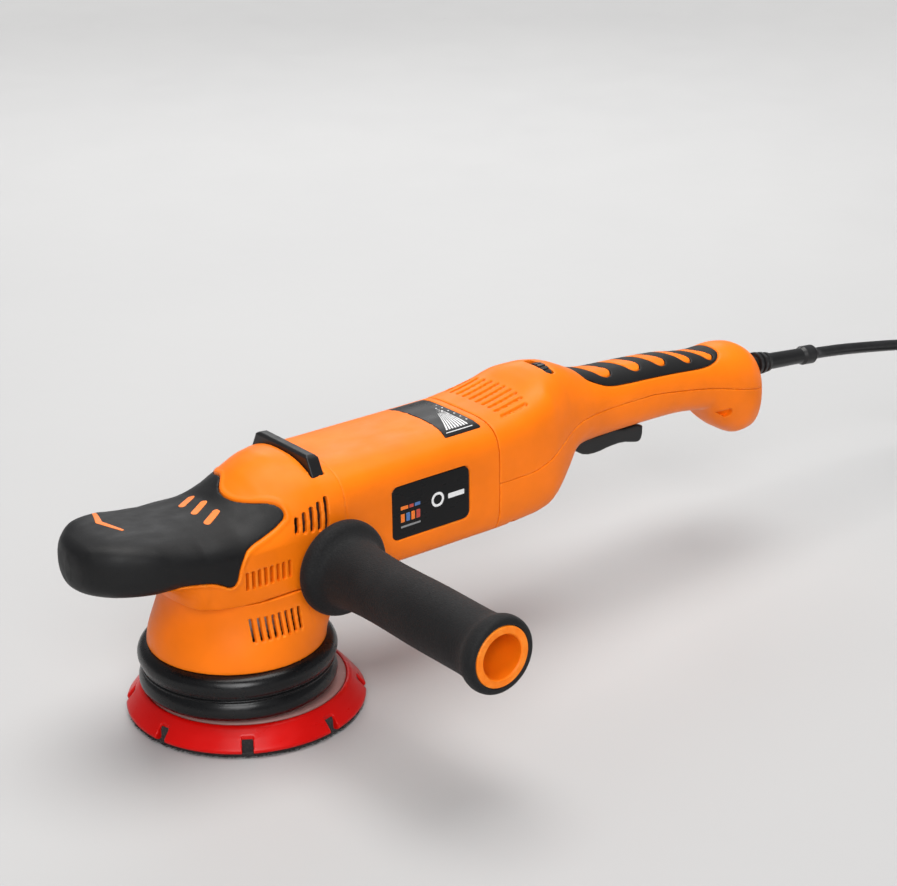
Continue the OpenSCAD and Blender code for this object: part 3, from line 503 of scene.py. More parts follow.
def slot_distance(u, v, start, end, r_start, r_end=None):
    """Distance to a slot with round ends, wider at one end if r_end is given."""
    du, dv = end[0] - start[0], end[1] - start[1]
    share = np.clip(((u - start[0]) * du + (v - start[1]) * dv) / (du * du + dv * dv), 0, 1)
    radius = r_start + share * ((r_start if r_end is None else r_end) - r_start)
    return np.hypot(u - start[0] - share * du, v - start[1] - share * dv) - radius


def box_distance(u, v, u0, u1, v0, v1, r=0.0):
    """Distance to a rectangle with corners of radius r."""
    a = np.abs(u - (u0 + u1) / 2) - (u1 - u0) / 2 + r
    b = np.abs(v - (v0 + v1) / 2) - (v1 - v0) / 2 + r
    return np.hypot(np.maximum(a, 0), np.maximum(b, 0)) + np.minimum(np.maximum(a, b), 0) - r


def smooth_key(table, column, x):
    """A value read between a table's rows on a smooth curve that doesn't overshoot."""
    xs = np.array([row[0] for row in table], float)
    ys = np.array([row[column] for row in table], float)
    steps = np.diff(xs)
    slopes = np.diff(ys) / steps
    tangents = np.zeros(len(xs))
    tangents[0], tangents[-1] = slopes[0], slopes[-1]
    rising = slopes[:-1] * slopes[1:] > 0
    before, after = 2 * steps[1:] + steps[:-1], steps[1:] + 2 * steps[:-1]
    safe = np.where(rising, slopes[:-1] * slopes[1:], 1)
    mean = (before + after) * safe / np.where(rising, before * slopes[1:] + after * slopes[:-1], 1)
    tangents[1:-1] = np.where(rising, mean, 0)
    x = np.clip(x, xs[0], xs[-1])
    i = np.clip(np.searchsorted(xs, x) - 1, 0, len(xs) - 2)
    h = steps[i]
    t = (x - xs[i]) / h
    return ((1 + 2 * t) * (1 - t) ** 2 * ys[i] + t * (1 - t) ** 2 * h * tangents[i]
            + t * t * (3 - 2 * t) * ys[i + 1] + t * t * (t - 1) * h * tangents[i + 1])


class Form:
    """The smooth body through a table of sections across X.

    Rows are [x, half width, top, widest height, bottom, upper squareness, lower squareness].
    """

    step = 0.25
    probe = 0.6

    def __init__(self, table):
        self.lines = np.arange(table[0][0], table[-1][0] + self.step, self.step)
        self.columns = [smooth_key(table, column, self.lines) for column in range(1, 7)]

    def ratio(self, x, y, z, slope=False):
        """How far out a point lies, 1 on the surface, and how fast that grows across X."""
        w, top, mid, bottom, n_up, n_low = (np.interp(x, self.lines, column) for column in self.columns)
        above = z >= mid
        h = np.where(above, top - mid, mid - bottom)
        n = np.where(above, n_up, n_low)
        a = np.maximum(np.abs(y) / w, 1e-6)
        b = np.maximum(np.abs(z - mid) / h, 1e-6)
        pa, pb = a ** n, b ** n
        r = (pa + pb) ** (1 / n)
        if not slope:
            return r
        scale = r / (pa + pb)
        return r, np.hypot(scale * pa / a / w, scale * pb / b / h)

    def __call__(self, x, y, z):
        r, across = self.ratio(x, y, z, slope=True)
        d = self.probe
        along = (self.ratio(x + d, y, z) - self.ratio(x - d, y, z)) / (2 * d)
        return (r - 1) / np.sqrt(across ** 2 + np.minimum(np.abs(along), 3 * across) ** 2)


# ---- meshes from distances


class Mesher:
    """Turns a shape into a mesh of squares, with its points moved onto the surface.

    Blocks of cells far from the surface, by the shape's value at their middle, are skipped.
    """

    block = 4
    probe = 0.06

    def __init__(self, shape, low, high, step):
        self.shape, self.step = shape, step
        self.low = np.array(low, float)
        self.blocks = np.ceil((np.array(high) - low) / (step * self.block)).astype(int)

    def values(self):
        half = self.step * self.block / 2
        axes = [self.low[k] + half - self.step / 2 + np.arange(self.blocks[k]) * 2 * half for k in range(3)]
        grid = np.stack(np.meshgrid(*axes, indexing="ij"), -1)
        coarse = self.shape(*np.moveaxis(grid, -1, 0))
        # Half a block's diagonal, with half as much again to spare
        near = np.abs(coarse) < half * 1.7321 * 1.5
        fine = np.where(coarse > 0, 9.0, -9.0).astype(np.float32)
        values = fine.repeat(self.block, 0).repeat(self.block, 1).repeat(self.block, 2)
        inner = np.stack(np.meshgrid(*[np.arange(self.block)] * 3, indexing="ij"), -1).reshape(-1, 3)
        for part in np.array_split(np.argwhere(near), max(1, near.sum() // 6000)):
            cells = (part[:, None] * self.block + inner[None]).reshape(-1, 3)
            found = self.shape(*(self.low + cells * self.step).T)
            values[tuple(cells.T)] = found
        return values

    def squares(self, values):
        """One point in each cell that the surface crosses, and one square on each crossed edge."""
        inside = values < 0
        corners = [(i, j, k) for i in (0, 1) for j in (0, 1) for k in (0, 1)]
        size = np.array(values.shape) - 1

        def part(array, offset):
            return array[tuple(slice(o, o + s) for o, s in zip(offset, size))]

        count = sum(part(inside, c).astype(np.int8) for c in corners)
        cells = np.argwhere((count > 0) & (count < 8))
        number = np.full(size, -1, np.int32)
        number[tuple(cells.T)] = np.arange(len(cells))
        total = np.zeros((len(cells), 3))
        hits = np.zeros(len(cells))
        for axis in range(3):
            for start in (c for c in corners if c[axis] == 0):
                end = tuple(o + (k == axis) for k, o in enumerate(start))
                a = values[tuple((cells + start).T)]
                b = values[tuple((cells + end).T)]
                cut = (a < 0) != (b < 0)
                share = np.where(cut, a / np.where(cut, a - b, 1), 0)
                place = np.array(start, float) + share[:, None] * np.eye(3)[axis]
                total += place * cut[:, None]
                hits += cut
        points = self.low + (cells + total / hits[:, None]) * self.step
        faces = []
        for axis in range(3):
            u, w = (axis + 1) % 3, (axis + 2) % 3
            lower = [slice(1, -1)] * 3
            upper = list(lower)
            lower[axis], upper[axis] = slice(0, -1), slice(1, None)
            a, b = inside[tuple(lower)], inside[tuple(upper)]
            edge = np.argwhere(a != b) + [0 if k == axis else 1 for k in range(3)]
            outward = a[a != b]
            back_u, back_w = np.eye(3, dtype=int)[u], np.eye(3, dtype=int)[w]
            ring = [number[tuple((edge - o).T)] for o in (0 * back_u, back_u, back_u + back_w, back_w)]
            ring = np.stack(ring, 1)
            faces.append(np.where(outward[:, None], ring, ring[:, ::-1]))
        return points, np.concatenate(faces)

    def settle(self, points):
        """Moves the points onto the surface, at most a cell's size in all."""
        start = points.copy()
        limit = 0.6 * self.step
        for _ in range(2):
            slope = np.stack([self.shape(*(points + step).T) - self.shape(*(points - step).T)
                              for step in self.probe * np.eye(3)], 1) / (2 * self.probe)
            steep = np.maximum((slope ** 2).sum(1), 0.25)
            move = -self.shape(*points.T)[:, None] * slope / steep[:, None]
            points = start + np.clip(points + move - start, -limit, limit)
        return points

    def mesh(self):
        points, faces = self.squares(self.values())
        return self.settle(points), faces.tolist()


def add_shape(name, shape, low, high, step, slot, replaced=(), body="polisher", material=None):
    """A piece made from a distance function within a box."""
    points, faces = Mesher(shape, low, high, step).mesh()
    add_piece(name, points, faces, body, slot, replaced, material, sharp=50)


# ---- the body's forms

HEAD_W = 39
SNOUT_L = 93
MOTOR_Z = 101
SEAM_FRONT, SEAM_REAR = 44, 145.5
SKIRT_Z0, SKIRT_Z1, SKIRT_R, WAIST_Z = 42.2, 77, 46, 74
SIDE_X, SIDE_Y, SIDE_Z, SIDE_HOLE_R = 34.5, -40.2, 86, 9.4
WALL = 2.5
GAP = 0.3
HEAD = Form([
    [-SNOUT_L, 3, 113, 106, 100, 2, 2], [-91, 12, 117, 106, 96, 2.4, 2.2],
    [-86, 20, 120, 106, 93, 3, 2.5], [-76, 28, 121.5, 105.5, 91, 3.8, 2.8],
    [-62, 33.5, 120.5, 105, 90, 3.4, 3], [-54, 35, 119.3, 105, 89.5, 2.9, 2.8],
    [-48, 36, 118.8, 105, 86, 2.5, 2.4], [-42, 36.8, 118.4, 104.5, 77.5, 2.3, 2.2],
    [-36, 37.4, 118.2, 104, 66, 2.1, 2.2], [-30, 37.8, 118, 104, 62, 2.1, 2.6],
    [-15, 38.5, 119.5, 103, 58, 1.8, 4], [-7, 38.8, 123, 103, 56, 1.65, 5],
    [0, HEAD_W, 127.5, 103, 56, 1.6, 5], [6, HEAD_W, 131.5, 103, 56, 1.65, 5],
    [14, HEAD_W, 134.8, 103, 56, 1.85, 5], [21, HEAD_W, 136.4, 103, 56, 2.05, 5],
    [27, HEAD_W, 136.6, 103, 56, 2.2, 5], [34, 38.8, 135.2, 103, 56, 2.5, 5],
    [SEAM_FRONT, 38.4, 132.4, 103, 56, 3.4, 5]])
MOTOR = Form([
    [SEAM_FRONT, 37.4, 131, 103, 67.5, 3.4, 5], [60, 36.2, 130.4, 102, 66.5, 3.9, 5],
    [100, 35.7, 130.2, 101, 66, 4.2, 5], [SEAM_REAR, 35.6, 130.4, 101, 66, 4.2, 5]])
REAR = Form([
    [SEAM_REAR, 35.6, 130.4, 101, 66, 4.2, 5], [160, 35, 132.6, 101, 65.5, 4.1, 4.6],
    [175, 34.2, 136.1, 101, 65.5, 3.9, 4.2], [186, 32.8, 140.4, 102, 66.5, 3.6, 4],
    [193, 31, 142.4, 103, 68.5, 3, 3.6], [199, 28.8, 143, 104, 72.5, 2.8, 3.2],
    [205, 26.6, 142.4, 106, 79, 2.6, 2.9], [211, 24.8, 140.6, 108, 88, 2.5, 2.6],
    [218, 23.2, 137.4, 110, 91, 2.4, 2.4], [228, 21.2, 133, 111, 91.5, 2.3, 2.3],
    [240, 20, 131, 111, 91.5, 2.3, 2.3], [262, 19.4, 129.6, 110, 91.5, 2.3, 2.3],
    [293, 19, 127, 108, 91, 2.3, 2.3], [313, 19, 123.5, 105, 88.8, 2.3, 2.3],
    [321, 19.4, 122.6, 103.6, 87.2, 2.3, 2.3], [325, 19.8, 122.3, 102.6, 83.4, 2.3, 2.3],
    [330, 20.4, 122.4, 101, 77.8, 2.3, 2.3], [340, 21.5, 122.8, 97, 70.4, 2.4, 2.4],
    [350, 21, 121.5, 93, 66, 2.4, 2.4], [360, 18, 116.2, 91, 65.8, 2.3, 2.3],
    [367, 12, 107, 90, 71.5, 2.2, 2.2], [371, 3, 95, 90, 83, 2, 2]])
PARTING = [[140, 97.4], [167, 97.2], [182, 100], [193, 105.2], [205, 110], [218, 112.6],
           [240, 112.7], [268, 112.4], [294, 109.2], [320, 104.6], [354, 96.6], [378, 91]]
GRIP_SIDE = soften([[-110, 78], [-66, 78], [-54, 95], [-44, 95.5], [-36, 94.6], [-30, 92.2],
                    [-25, 88.8], [-21.4, 91], [-20, 97.5], [-16.5, 105.2], [-11.7, 107.4],
                    [-3.6, 109.3], [4, 111.9], [11, 115.8], [13, 119], [13, 150], [-110, 150]])
GRIP_PLAN = soften([[-110, -60], [12, -60], [11, -34], [10.6, -30.5], [8.4, -27], [2.6, -22],
                    [-1.9, -17.6], [-5.6, -11.9], [-6.9, -6], [-6.3, -0.5], [-4, 3.6], [-1.2, 6.8],
                    [1.6, 11], [2.3, 15], [3.2, 19], [5.5, 23.5], [8.6, 27.5], [10.6, 33], [12, 60],
                    [-110, 60]])
GRIP_T = 2
LIP_W, LIP_H = 1.7, 0.45
INSET_SIDE = soften([[223, 140], [225, 131], [232, 127.3], [240.5, 123.6], [255.5, 122.2],
                     [271, 121.3], [295, 119.3], [315, 116.8], [325, 117.4], [331, 119.5],
                     [334, 122], [334, 140]])
INSET_T = 1.8
# Openings through the handle's rubber: [x of the round end, radius there]
WINDOWS = [[243.5, 5], [266, 4.8], [286, 4.3], [306.5, 3.7], [324.5, 3]]


def grip_region(x, y, z):
    return both(outline_distance(x, z, GRIP_SIDE), outline_distance(x, y, GRIP_PLAN), 2)


# Rows of upright slots as number, first x, pitch, foot and head
SLOT_HALF = 0.9
HEAD_SLOTS = (8, -17 + SLOT_HALF, 3.5, 85.5, 95)
SKIRT_SLOTS = (8, -15.5 + SLOT_HALF, 3.8, 57, 69)


def side_slots(x, y, z, count, x0, pitch, z0, z1):
    """Upright slots through both side walls."""
    middle = x0 + pitch * np.clip(np.round((x - x0) / pitch), 0, count - 1)
    return both(box_distance(x - middle, z, -SLOT_HALF, SLOT_HALF, z0, z1, 0.5), 20 - np.abs(y))


def dome_slots(x, y, z):
    """Leaning slots beside the dome, each one longer and further back than the last."""
    slots = np.inf
    for i in range(5):
        foot = (14 + 4.4 * i, 107.9 - 0.55 * i)
        head = (15.2 + 4.5 * i, 113.6 + 1.55 * i)
        slots = np.minimum(slots, slot_distance(x, z, foot, head, 1.2))
    return both(slots, 18 - np.abs(y))


def head_distance(x, y, z):
    return both(HEAD(x, y, z), -SNOUT_L + 0.3 - x, 1.2)


def head_cover(x, y, z):
    body = head_distance(x, y, z)
    grip = grip_region(x, y, z)
    lip = LIP_H * ramp(grip, -0.2, 0.5) * (1 - ramp(grip, LIP_W - 0.5, LIP_W + 0.9))
    outer = without(body - lip, both(grip - 0.1, -(body + GRIP_T)), 0.25)
    outer = both(outer, x - SEAM_FRONT + GAP, 0.5)
    outer = both(outer, SKIRT_Z1 + GAP - z, 0.5)
    depth = WALL + GRIP_T * (1 - ramp(x, 11, 16))
    shell = without(outer, both(body + depth, x - SEAM_FRONT - 9))
    shell = without(shell, side_slots(x, y, z, *HEAD_SLOTS), 0.35)
    shell = without(shell, dome_slots(x, y, z), 0.35)
    shell = without(shell, np.hypot(x - SIDE_X, z - SIDE_Z) - SIDE_HOLE_R, 0.4)
    slot = both(np.abs(x - BAR_X) - BAR_HALF - GAP, both(np.abs(y) - BAR_END, BAR_Z - GAP - z))
    return without(shell, slot)


def head_grip(x, y, z):
    body = head_distance(x, y, z)
    grip = grip_region(x, y, z) + 0.12
    return both(both(body, grip, 1.1), -(body + GRIP_T - 0.1))


BAR_X, BAR_HALF, BAR_END, BAR_Z, BAR_TOP = 35, 3.5, 27.2, 127, 138.6


def head_bumper(x, y, z):
    """The rubber bar across the dome's back edge, with a flat top and sloping ends."""
    crown = z - BAR_TOP + 0.12 * (x - BAR_X)
    faces = np.abs(x - BAR_X) - BAR_HALF
    ends = (np.abs(y) - BAR_END + 0.5 * np.maximum(z - 129, 0)) * 0.9
    chamfer = both(crown + faces, crown + ends) * 0.7071 + 0.9
    bar = both(both(both(crown, faces, 0.3), chamfer, 0.4), ends, 0.6)
    return both(both(bar, BAR_Z - z), -(HEAD(x, y, z) + WALL + 0.2))


def skirt_radius(x, y, z):
    """Distance from the drive axis to the skirt at that height and direction."""
    r = np.maximum(np.hypot(x, y), 1e-3)
    along, across = np.abs(x) / r, np.abs(y) / r
    n = np.where(x > 0, 8, 2.1)
    plan_x = np.where(x > 0, SEAM_FRONT - 0.2, 37)
    plan = ((along / plan_x) ** n + (across / (HEAD_W + 0.3)) ** n) ** (-1 / n)
    t = ramp(z, SKIRT_Z0, WAIST_Z)
    return (1 - t) * SKIRT_R + t * plan


def skirt_distance(x, y, z):
    def out(px, py, pz):
        return np.hypot(px, py) - skirt_radius(px, py, pz)

    d = 0.5
    value = out(x, y, z)
    slope = np.sqrt((out(x + d, y, z) - value) ** 2 + (out(x, y + d, z) - value) ** 2
                    + (out(x, y, z + d) - value) ** 2) / d
    return value / np.maximum(slope, 0.7)


def skirt_cover(x, y, z):
    body = skirt_distance(x, y, z)
    outer = both(both(body, z - SKIRT_Z1 + GAP, 0.5), SKIRT_Z0 - z, 0.8)
    # Hollow to just under the top edge, which the head covers
    shell = without(outer, body + WALL)
    shell = without(shell, side_slots(x, y, z, *SKIRT_SLOTS), 0.35)
    seam = both(np.abs(x - 19 - 0.2 * (66 - z)) - 0.25, np.abs(z - 62) - 5)
    return without(shell, both(both(seam, -(body + 0.6)), 25 - np.abs(y)), 0.3)


BADGE_X, BADGE_Z = (74, 125), (84, 114)
BADGE_DEPTH, LABEL_DEPTH = 1.1, 0.7
LABEL_ARC, LABEL_WAIST = 85, 120.4
LABEL_X, LABEL_Y = (115, 141), 26


def badge_outline(x, z):
    return box_distance(x, z, *BADGE_X, *BADGE_Z, 4.2)


def label_outline(x, y):
    """A label with a hollow arc for its front edge."""
    box = box_distance(x, y, *LABEL_X, -LABEL_Y, LABEL_Y, 1.5)
    return both(box, LABEL_ARC - np.hypot(x - LABEL_WAIST + LABEL_ARC, y), 0.8)


def motor_cover(x, y, z):
    body = MOTOR(x, y, z)
    outer = both(body, np.abs(x - (SEAM_FRONT + SEAM_REAR) / 2) - (SEAM_REAR - SEAM_FRONT) / 2 + GAP, 0.6)
    badge = both(badge_outline(x, z), both(-(body + BADGE_DEPTH), 10 - np.abs(y)))
    outer = without(outer, badge, 0.5)
    label = both(label_outline(x, y), both(-(body + LABEL_DEPTH), MOTOR_Z - z))
    outer = without(outer, label, 0.35)
    shell = without(outer, body + WALL)
    keyways = both(np.abs(np.abs(y) - 24) - 2.2, both(np.abs(z - MOTOR_Z) - 1, x - SEAM_FRONT))
    return without(shell, keyways)


def parting_distance(x, z):
    """Height above the joint between the rear shells."""
    slope = (smooth_key(PARTING, 1, x + 1) - smooth_key(PARTING, 1, x - 1)) / 2
    return (z - smooth_key(PARTING, 1, x)) / np.sqrt(1 + slope * slope)


RELIEF = (358, 103.9)
RELIEF_TILT = math.radians(5.7)
RELIEF_DIRECTION = Vector((math.cos(RELIEF_TILT), 0, -math.sin(RELIEF_TILT)))
GROOVE_PITCH, GROOVE_R, GROOVE_DEPTH = 5.4, 1.2, 1.5
DIAL = (200, -3)
RELIEF_R = 5.5
TAIL_END = 371


def rear_shell(x, y, z):
    """The rear housing's outer form, and its shell with the hole for the strain relief."""
    body = both(REAR(x, y, z), x - TAIL_END + 0.2, 0.8)
    # Solid through the tail behind its teardrop hollows
    inside = both(both(body + WALL, x - 366), 8 - np.hypot(x - 331, z - 86.5))
    shell = without(both(body, SEAM_REAR + GAP - x, 0.5), inside)
    along = (x - RELIEF[0]) * RELIEF_DIRECTION.x + (z - RELIEF[1]) * RELIEF_DIRECTION.z
    across = np.hypot(y, (z - RELIEF[1]) * RELIEF_DIRECTION.x - (x - RELIEF[0]) * RELIEF_DIRECTION.z)
    return body, without(shell, both(across - RELIEF_R, -along), 0.6)


def windows(x, y):
    """The slanted teardrops that the handle's rubber leaves open."""
    drops = np.inf
    for middle, radius in WINDOWS:
        drops = np.minimum(drops, slot_distance(x, y, (middle - 9, 9), (middle - 0.5, radius - 11),
                                                0.8 * radius, radius))
    return drops


def tail_hollow(x, y, z):
    drop = slot_distance(x, z, (327, 87.2), (332.6, 86.3), 0.3, 2.9)
    return both(drop, 10 - np.abs(y))


def rear_upper(x, y, z):
    body, shell = rear_shell(x, y, z)
    shell = both(shell, 0.3 * GAP - parting_distance(x, z), 0.5)
    rubber = without(outline_distance(x, z, INSET_SIDE), windows(x, y) + 0.1, 0.3)
    shell = without(shell, both(rubber - 0.1, -(body + INSET_T)), 0.3)
    # Ten grooves across the hump
    line = GROOVE_PITCH * (np.clip(np.round(y / GROOVE_PITCH - 0.5), -5, 4) + 0.5)
    end = 174.6 - 0.004 * line * line
    groove = np.hypot(x - np.clip(x, 156.5, end), y - line) - GROOVE_R
    shell = without(shell, both(groove, -(body + GROOVE_DEPTH)), 0.5)
    dial = slot_distance(x, y, (DIAL[0], DIAL[1] - 8.3), (DIAL[0], DIAL[1] + 8.3), 2.7)
    return without(shell, both(dial, 125 - z), 0.6)


TRIGGER_X, TRIGGER_Y = (221.3, 276), 8.3
TRIGGER_PIN = (226, 95.4)
LOCK_BUTTON = (246, 104)
# Screws from below as x, y and height of the head's seat
REAR_SCREWS = [[158, -27, 86], [158, 27, 86], [288, 0, 98]]
POST_R, SCREW_HEAD_R, SCREW_R = 4.6, 3.5, 1.75


def rear_lower(x, y, z):
    body, shell = rear_shell(x, y, z)
    posts = np.inf
    for px, py, _ in REAR_SCREWS:
        posts = np.minimum(posts, np.hypot(x - px, y - py) - POST_R)
    shell = np.minimum(shell, both(posts, body + 0.6))
    shell = both(shell, 0.3 * GAP + parting_distance(x, z), 0.5)
    for px, py, top in REAR_SCREWS:
        out = np.hypot(x - px, y - py)
        shell = without(shell, either(both(out - SCREW_HEAD_R, z - top), out - SCREW_R), 0.3)
    slot = both(box_distance(x, y, *TRIGGER_X, -TRIGGER_Y, TRIGGER_Y, 2.5), z - 98)
    shell = without(shell, slot, 0.6)
    shell = without(shell, both(np.hypot(x - LOCK_BUTTON[0], z - LOCK_BUTTON[1]) - 4.9, -y), 0.5)
    shell = without(shell, both(np.hypot(x - TRIGGER_PIN[0], z - TRIGGER_PIN[1]) - 1.6, np.abs(y) - 12))
    return without(shell, both(tail_hollow(x, y, z), -(body + 3)), 0.3)


def handle_rubber(x, y, z):
    body = REAR(x, y, z)
    region = both(outline_distance(x, z, INSET_SIDE), -windows(x, y), 0.6) + 0.12
    return both(both(body, region, 1.3), -(body + INSET_T - 0.1))


FINE, MEDIUM = 0.5, 0.8
HEAD_LOW = (-SNOUT_L - 2, -HEAD_W - 3, SKIRT_Z1 - 2)
REAR_END = TAIL_END + 1.5
# Name, shape, low and high corner of its box, mesh step, slot and CAD node of each
SHELLS = [
    ("head_shell", head_cover, HEAD_LOW, (SEAM_FRONT + 2, HEAD_W + 3, 141), MEDIUM, "orange_shell",
     ["head_cover"]),
    ("snout_grip", head_grip, HEAD_LOW, (18, HEAD_W + 3, 128), MEDIUM, "soft_grip", ["head_grip"]),
    ("bumper_bar", head_bumper, (30, -28, 125.5), (40, 28, 142), FINE, "black_plastic", ["head_bumper"]),
    ("skirt_shell", skirt_cover, (-48, -48, 41), (48, 48, 79), MEDIUM, "orange_shell", ["skirt_cover"]),
    ("motor_shell", motor_cover, (SEAM_FRONT - 1, -40, 64), (SEAM_REAR + 1, 40, 134), MEDIUM,
     "orange_shell", ["motor_housing"]),
    ("rear_shell_top", rear_upper, (SEAM_REAR - 1, -38, 89), (REAR_END, 38, 146), MEDIUM,
     "orange_shell", ["rear_upper_shell"]),
    ("rear_shell_bottom", rear_lower, (SEAM_REAR - 1, -38, 63), (REAR_END, 38, 115), MEDIUM,
     "orange_shell", ["rear_lower_shell"]),
    ("handle_rubber", handle_rubber, (221, -22, 114), (336, 22, 138), FINE, "soft_grip", ["handle_grip"]),
]
for row in SHELLS:
    add_shape(*row)

# ---- plates and thin prints

# How deep the prints and plates reach into what they lie on
PRINT_SINK = 1
# Height of the plates' faces over the floor of their recess
BADGE_FACE, LABEL_FACE = 0.75, 0.55
BADGE_SINK, LABEL_SINK = BADGE_DEPTH - BADGE_FACE, LABEL_DEPTH - LABEL_FACE


def on_surface(body, outline, proud, blend=0.05):
    """A thin skin over a body within an outline."""
    def skin(x, y, z):
        out = body(x, y, z)
        return both(both(out - proud, outline(x, y, z), blend), -(out + PRINT_SINK))
    return skin


def slanted_bars(x, y, z):
    """Three slanted bars across the snout, one behind the other."""
    bars = np.inf
    for middle in (9, -2.5, -14):
        bars = np.minimum(bars, slot_distance(x, y, (-24, middle - 2.6), (-15.5, middle + 2.6), 1.9))
    return both(bars, 112 - z)


def chevron(x, y, z):
    """A bent band near the tip that widens towards the middle."""
    outer = slot_distance(x, y, (-63.5, 24), (-69.5, 8.5), 1.1, 1.7)
    inner = slot_distance(x, y, (-69.5, 8.5), (-65, -5.5), 1.7, 1.1)
    return both(np.minimum(outer, inner), 112 - z)


def badge_plate(side):
    def shape(x, y, z):
        body = MOTOR(x, y, z)
        plate = both(badge_outline(x, z) + 0.25, body + BADGE_DEPTH - BADGE_FACE, 0.3)
        return both(both(plate, -(body + BADGE_DEPTH + PRINT_SINK)), -side * y)
    return shape


def label_plate(x, y, z):
    body = MOTOR(x, y, z)
    plate = both(label_outline(x, y) + 0.2, body + LABEL_DEPTH - LABEL_FACE, 0.2)
    return both(both(plate, -(body + LABEL_DEPTH + PRINT_SINK)), MOTOR_Z - z)


def sunk_motor(depth):
    """The motor housing's surface sunk by a depth, for prints that lie in a recess."""
    return lambda x, y, z: MOTOR(x, y, z) + depth


def nearest_box(u, v, boxes):
    """Nearest of several rectangles [u0, u1, v0, v1]."""
    best = np.inf
    for u0, u1, v0, v1 in boxes:
        best = np.minimum(best, box_distance(u, v, u0, u1, v0, v1, 0.25))
    return best


# Prints on each badge as [x0, x1, z0, z1], read along the side
BADGE_PRINTS = {
    "print_pale": [[110.5, 121.5, 98.6, 101.4]],
    "print_grey": [[96.6, 97, 91, 108], [79.5, 92.5, 90.3, 91.5]],
    "print_orange": [[79.5, 82.2, 93.4, 98.2], [86.3, 88.8, 93.4, 98.2], [79.5, 84.6, 100.4, 102.4]],
    "print_blue": [[83, 85.5, 93.4, 98.2], [88.6, 92.4, 100.4, 102.4]],
    "print_red": [[89.6, 92.2, 93.4, 98.2], [85.1, 88.1, 100.4, 102.4]],
}


def badge_print(boxes, side):
    return lambda x, y, z: both(nearest_box(x, z, boxes), 30 - side * y)


def badge_ring(side):
    return lambda x, y, z: both(np.abs(np.hypot(x - 103.8, z - 100) - 3.4) - 0.8, 30 - side * y)


WEDGE_X, WEDGE_WIDTH, WEDGE_TIP, WEDGE_BASE, WEDGE_STRIPES = 136.6, 15.5, 14, 20.5, 8


def wedge_print(x, y, z):
    """A fan of stripes that widens along the label, with dots behind it and a line at its foot."""
    share = np.clip((WEDGE_TIP - y) / (WEDGE_TIP + WEDGE_BASE), 0.02, 1)
    width = WEDGE_WIDTH * share ** 1.25
    across = (WEDGE_X - x) / width
    wedge = both(both(-across, across - 1) * width, both(y - WEDGE_TIP, -WEDGE_BASE - y))
    stripes = (np.abs(across * WEDGE_STRIPES % 1 - 0.5) - 0.33) * width / WEDGE_STRIPES
    dots = both(np.hypot(x - WEDGE_X - 2.3, (y + 101.4) % 5.2 - 2.6) - 0.6, np.abs(y + 4.6) - 15)
    base = box_distance(x, y, 119.5, WEDGE_X + 0.6, -WEDGE_BASE - 2.6, -WEDGE_BASE - 1.9, 0.2)
    return both(either(either(both(wedge, stripes), dots), base), MOTOR_Z - z)


def make_badge(side, node):
    """The inset plate on one side, with its generic ring, bar and blocks."""
    y0, y1 = sorted((31 * side, 37 * side))
    low, high = (BADGE_X[0] - 1, y0, BADGE_Z[0] - 1), (BADGE_X[1] + 1, y1, BADGE_Z[1] + 1)
    name = node.replace("badge", "plate_mark")
    add_shape(name, badge_plate(side), low, high, FINE, "label", [node])
    prints = [(key, key, badge_print(boxes, side)) for key, boxes in BADGE_PRINTS.items()]
    for key, look, outline in prints + [("ring", "print_pale", badge_ring(side))]:
        add_shape(f"{name}_{key}", on_surface(sunk_motor(BADGE_SINK), outline, 0.08), low, high, 0.4,
                  "label", material=MATERIALS[look])


for name, outline, low, high in (("snout_bars", slanted_bars, (-28, -20, 112), (-11, 15, 123)),
                                 ("snout_chevron", chevron, (-74, -9, 113), (-60, 27, 125))):
    add_shape(name, on_surface(HEAD, outline, 0.14, 0.1), low, high, 0.4, "orange_shell",
              material=MATERIALS["print_orange"])
make_badge(-1, "badge_left")
make_badge(1, "badge_right")
LABEL_BOX = (LABEL_X[0] - 1, -28, 124), (LABEL_X[1] + 1, 28, 132)
add_shape("speed_plate", label_plate, *LABEL_BOX, FINE, "label", ["speed_label"])
add_shape("speed_plate_print", on_surface(sunk_motor(LABEL_SINK), wedge_print, 0.08), *LABEL_BOX, 0.3,
          "label", material=MATERIALS["print_pale"])

# ---- turned parts


def lathe(name, profile, centre, axis, body, slot, replaced, material=None, segments=192, ripple=None):
    """A closed profile of [radius, height] turned round an axis."""
    up = Vector(axis).normalized()
    first = up.orthogonal().normalized()
    second = up.cross(first)
    profile = np.asarray(profile, float)
    angles = np.arange(segments) * math.tau / segments
    turns = np.outer(np.cos(angles), first) + np.outer(np.sin(angles), second)
    radii = np.repeat(profile[None, :, 0], segments, 0)
    heights = np.repeat(profile[None, :, 1], segments, 0)
    if ripple:
        radii, heights = ripple(radii, heights, angles[:, None])
    points = np.array(centre) + radii[..., None] * turns[:, None] + heights[..., None] * np.array(up)
    count = len(profile)
    faces = []
    for i in range(segments):
        for j in range(count):
            a, b = i * count, (i + 1) % segments * count
            k = (j + 1) % count
            faces.append((a + j, b + j, b + k, a + k))
    area = np.sum(profile[:, 0] * np.roll(profile[:, 1], -1) - np.roll(profile[:, 0], -1) * profile[:, 1])
    if area < 0:
        faces = [face[::-1] for face in faces]
    add_piece(name, points.reshape(-1, 3), faces, body, slot, replaced, material, sharp=40)


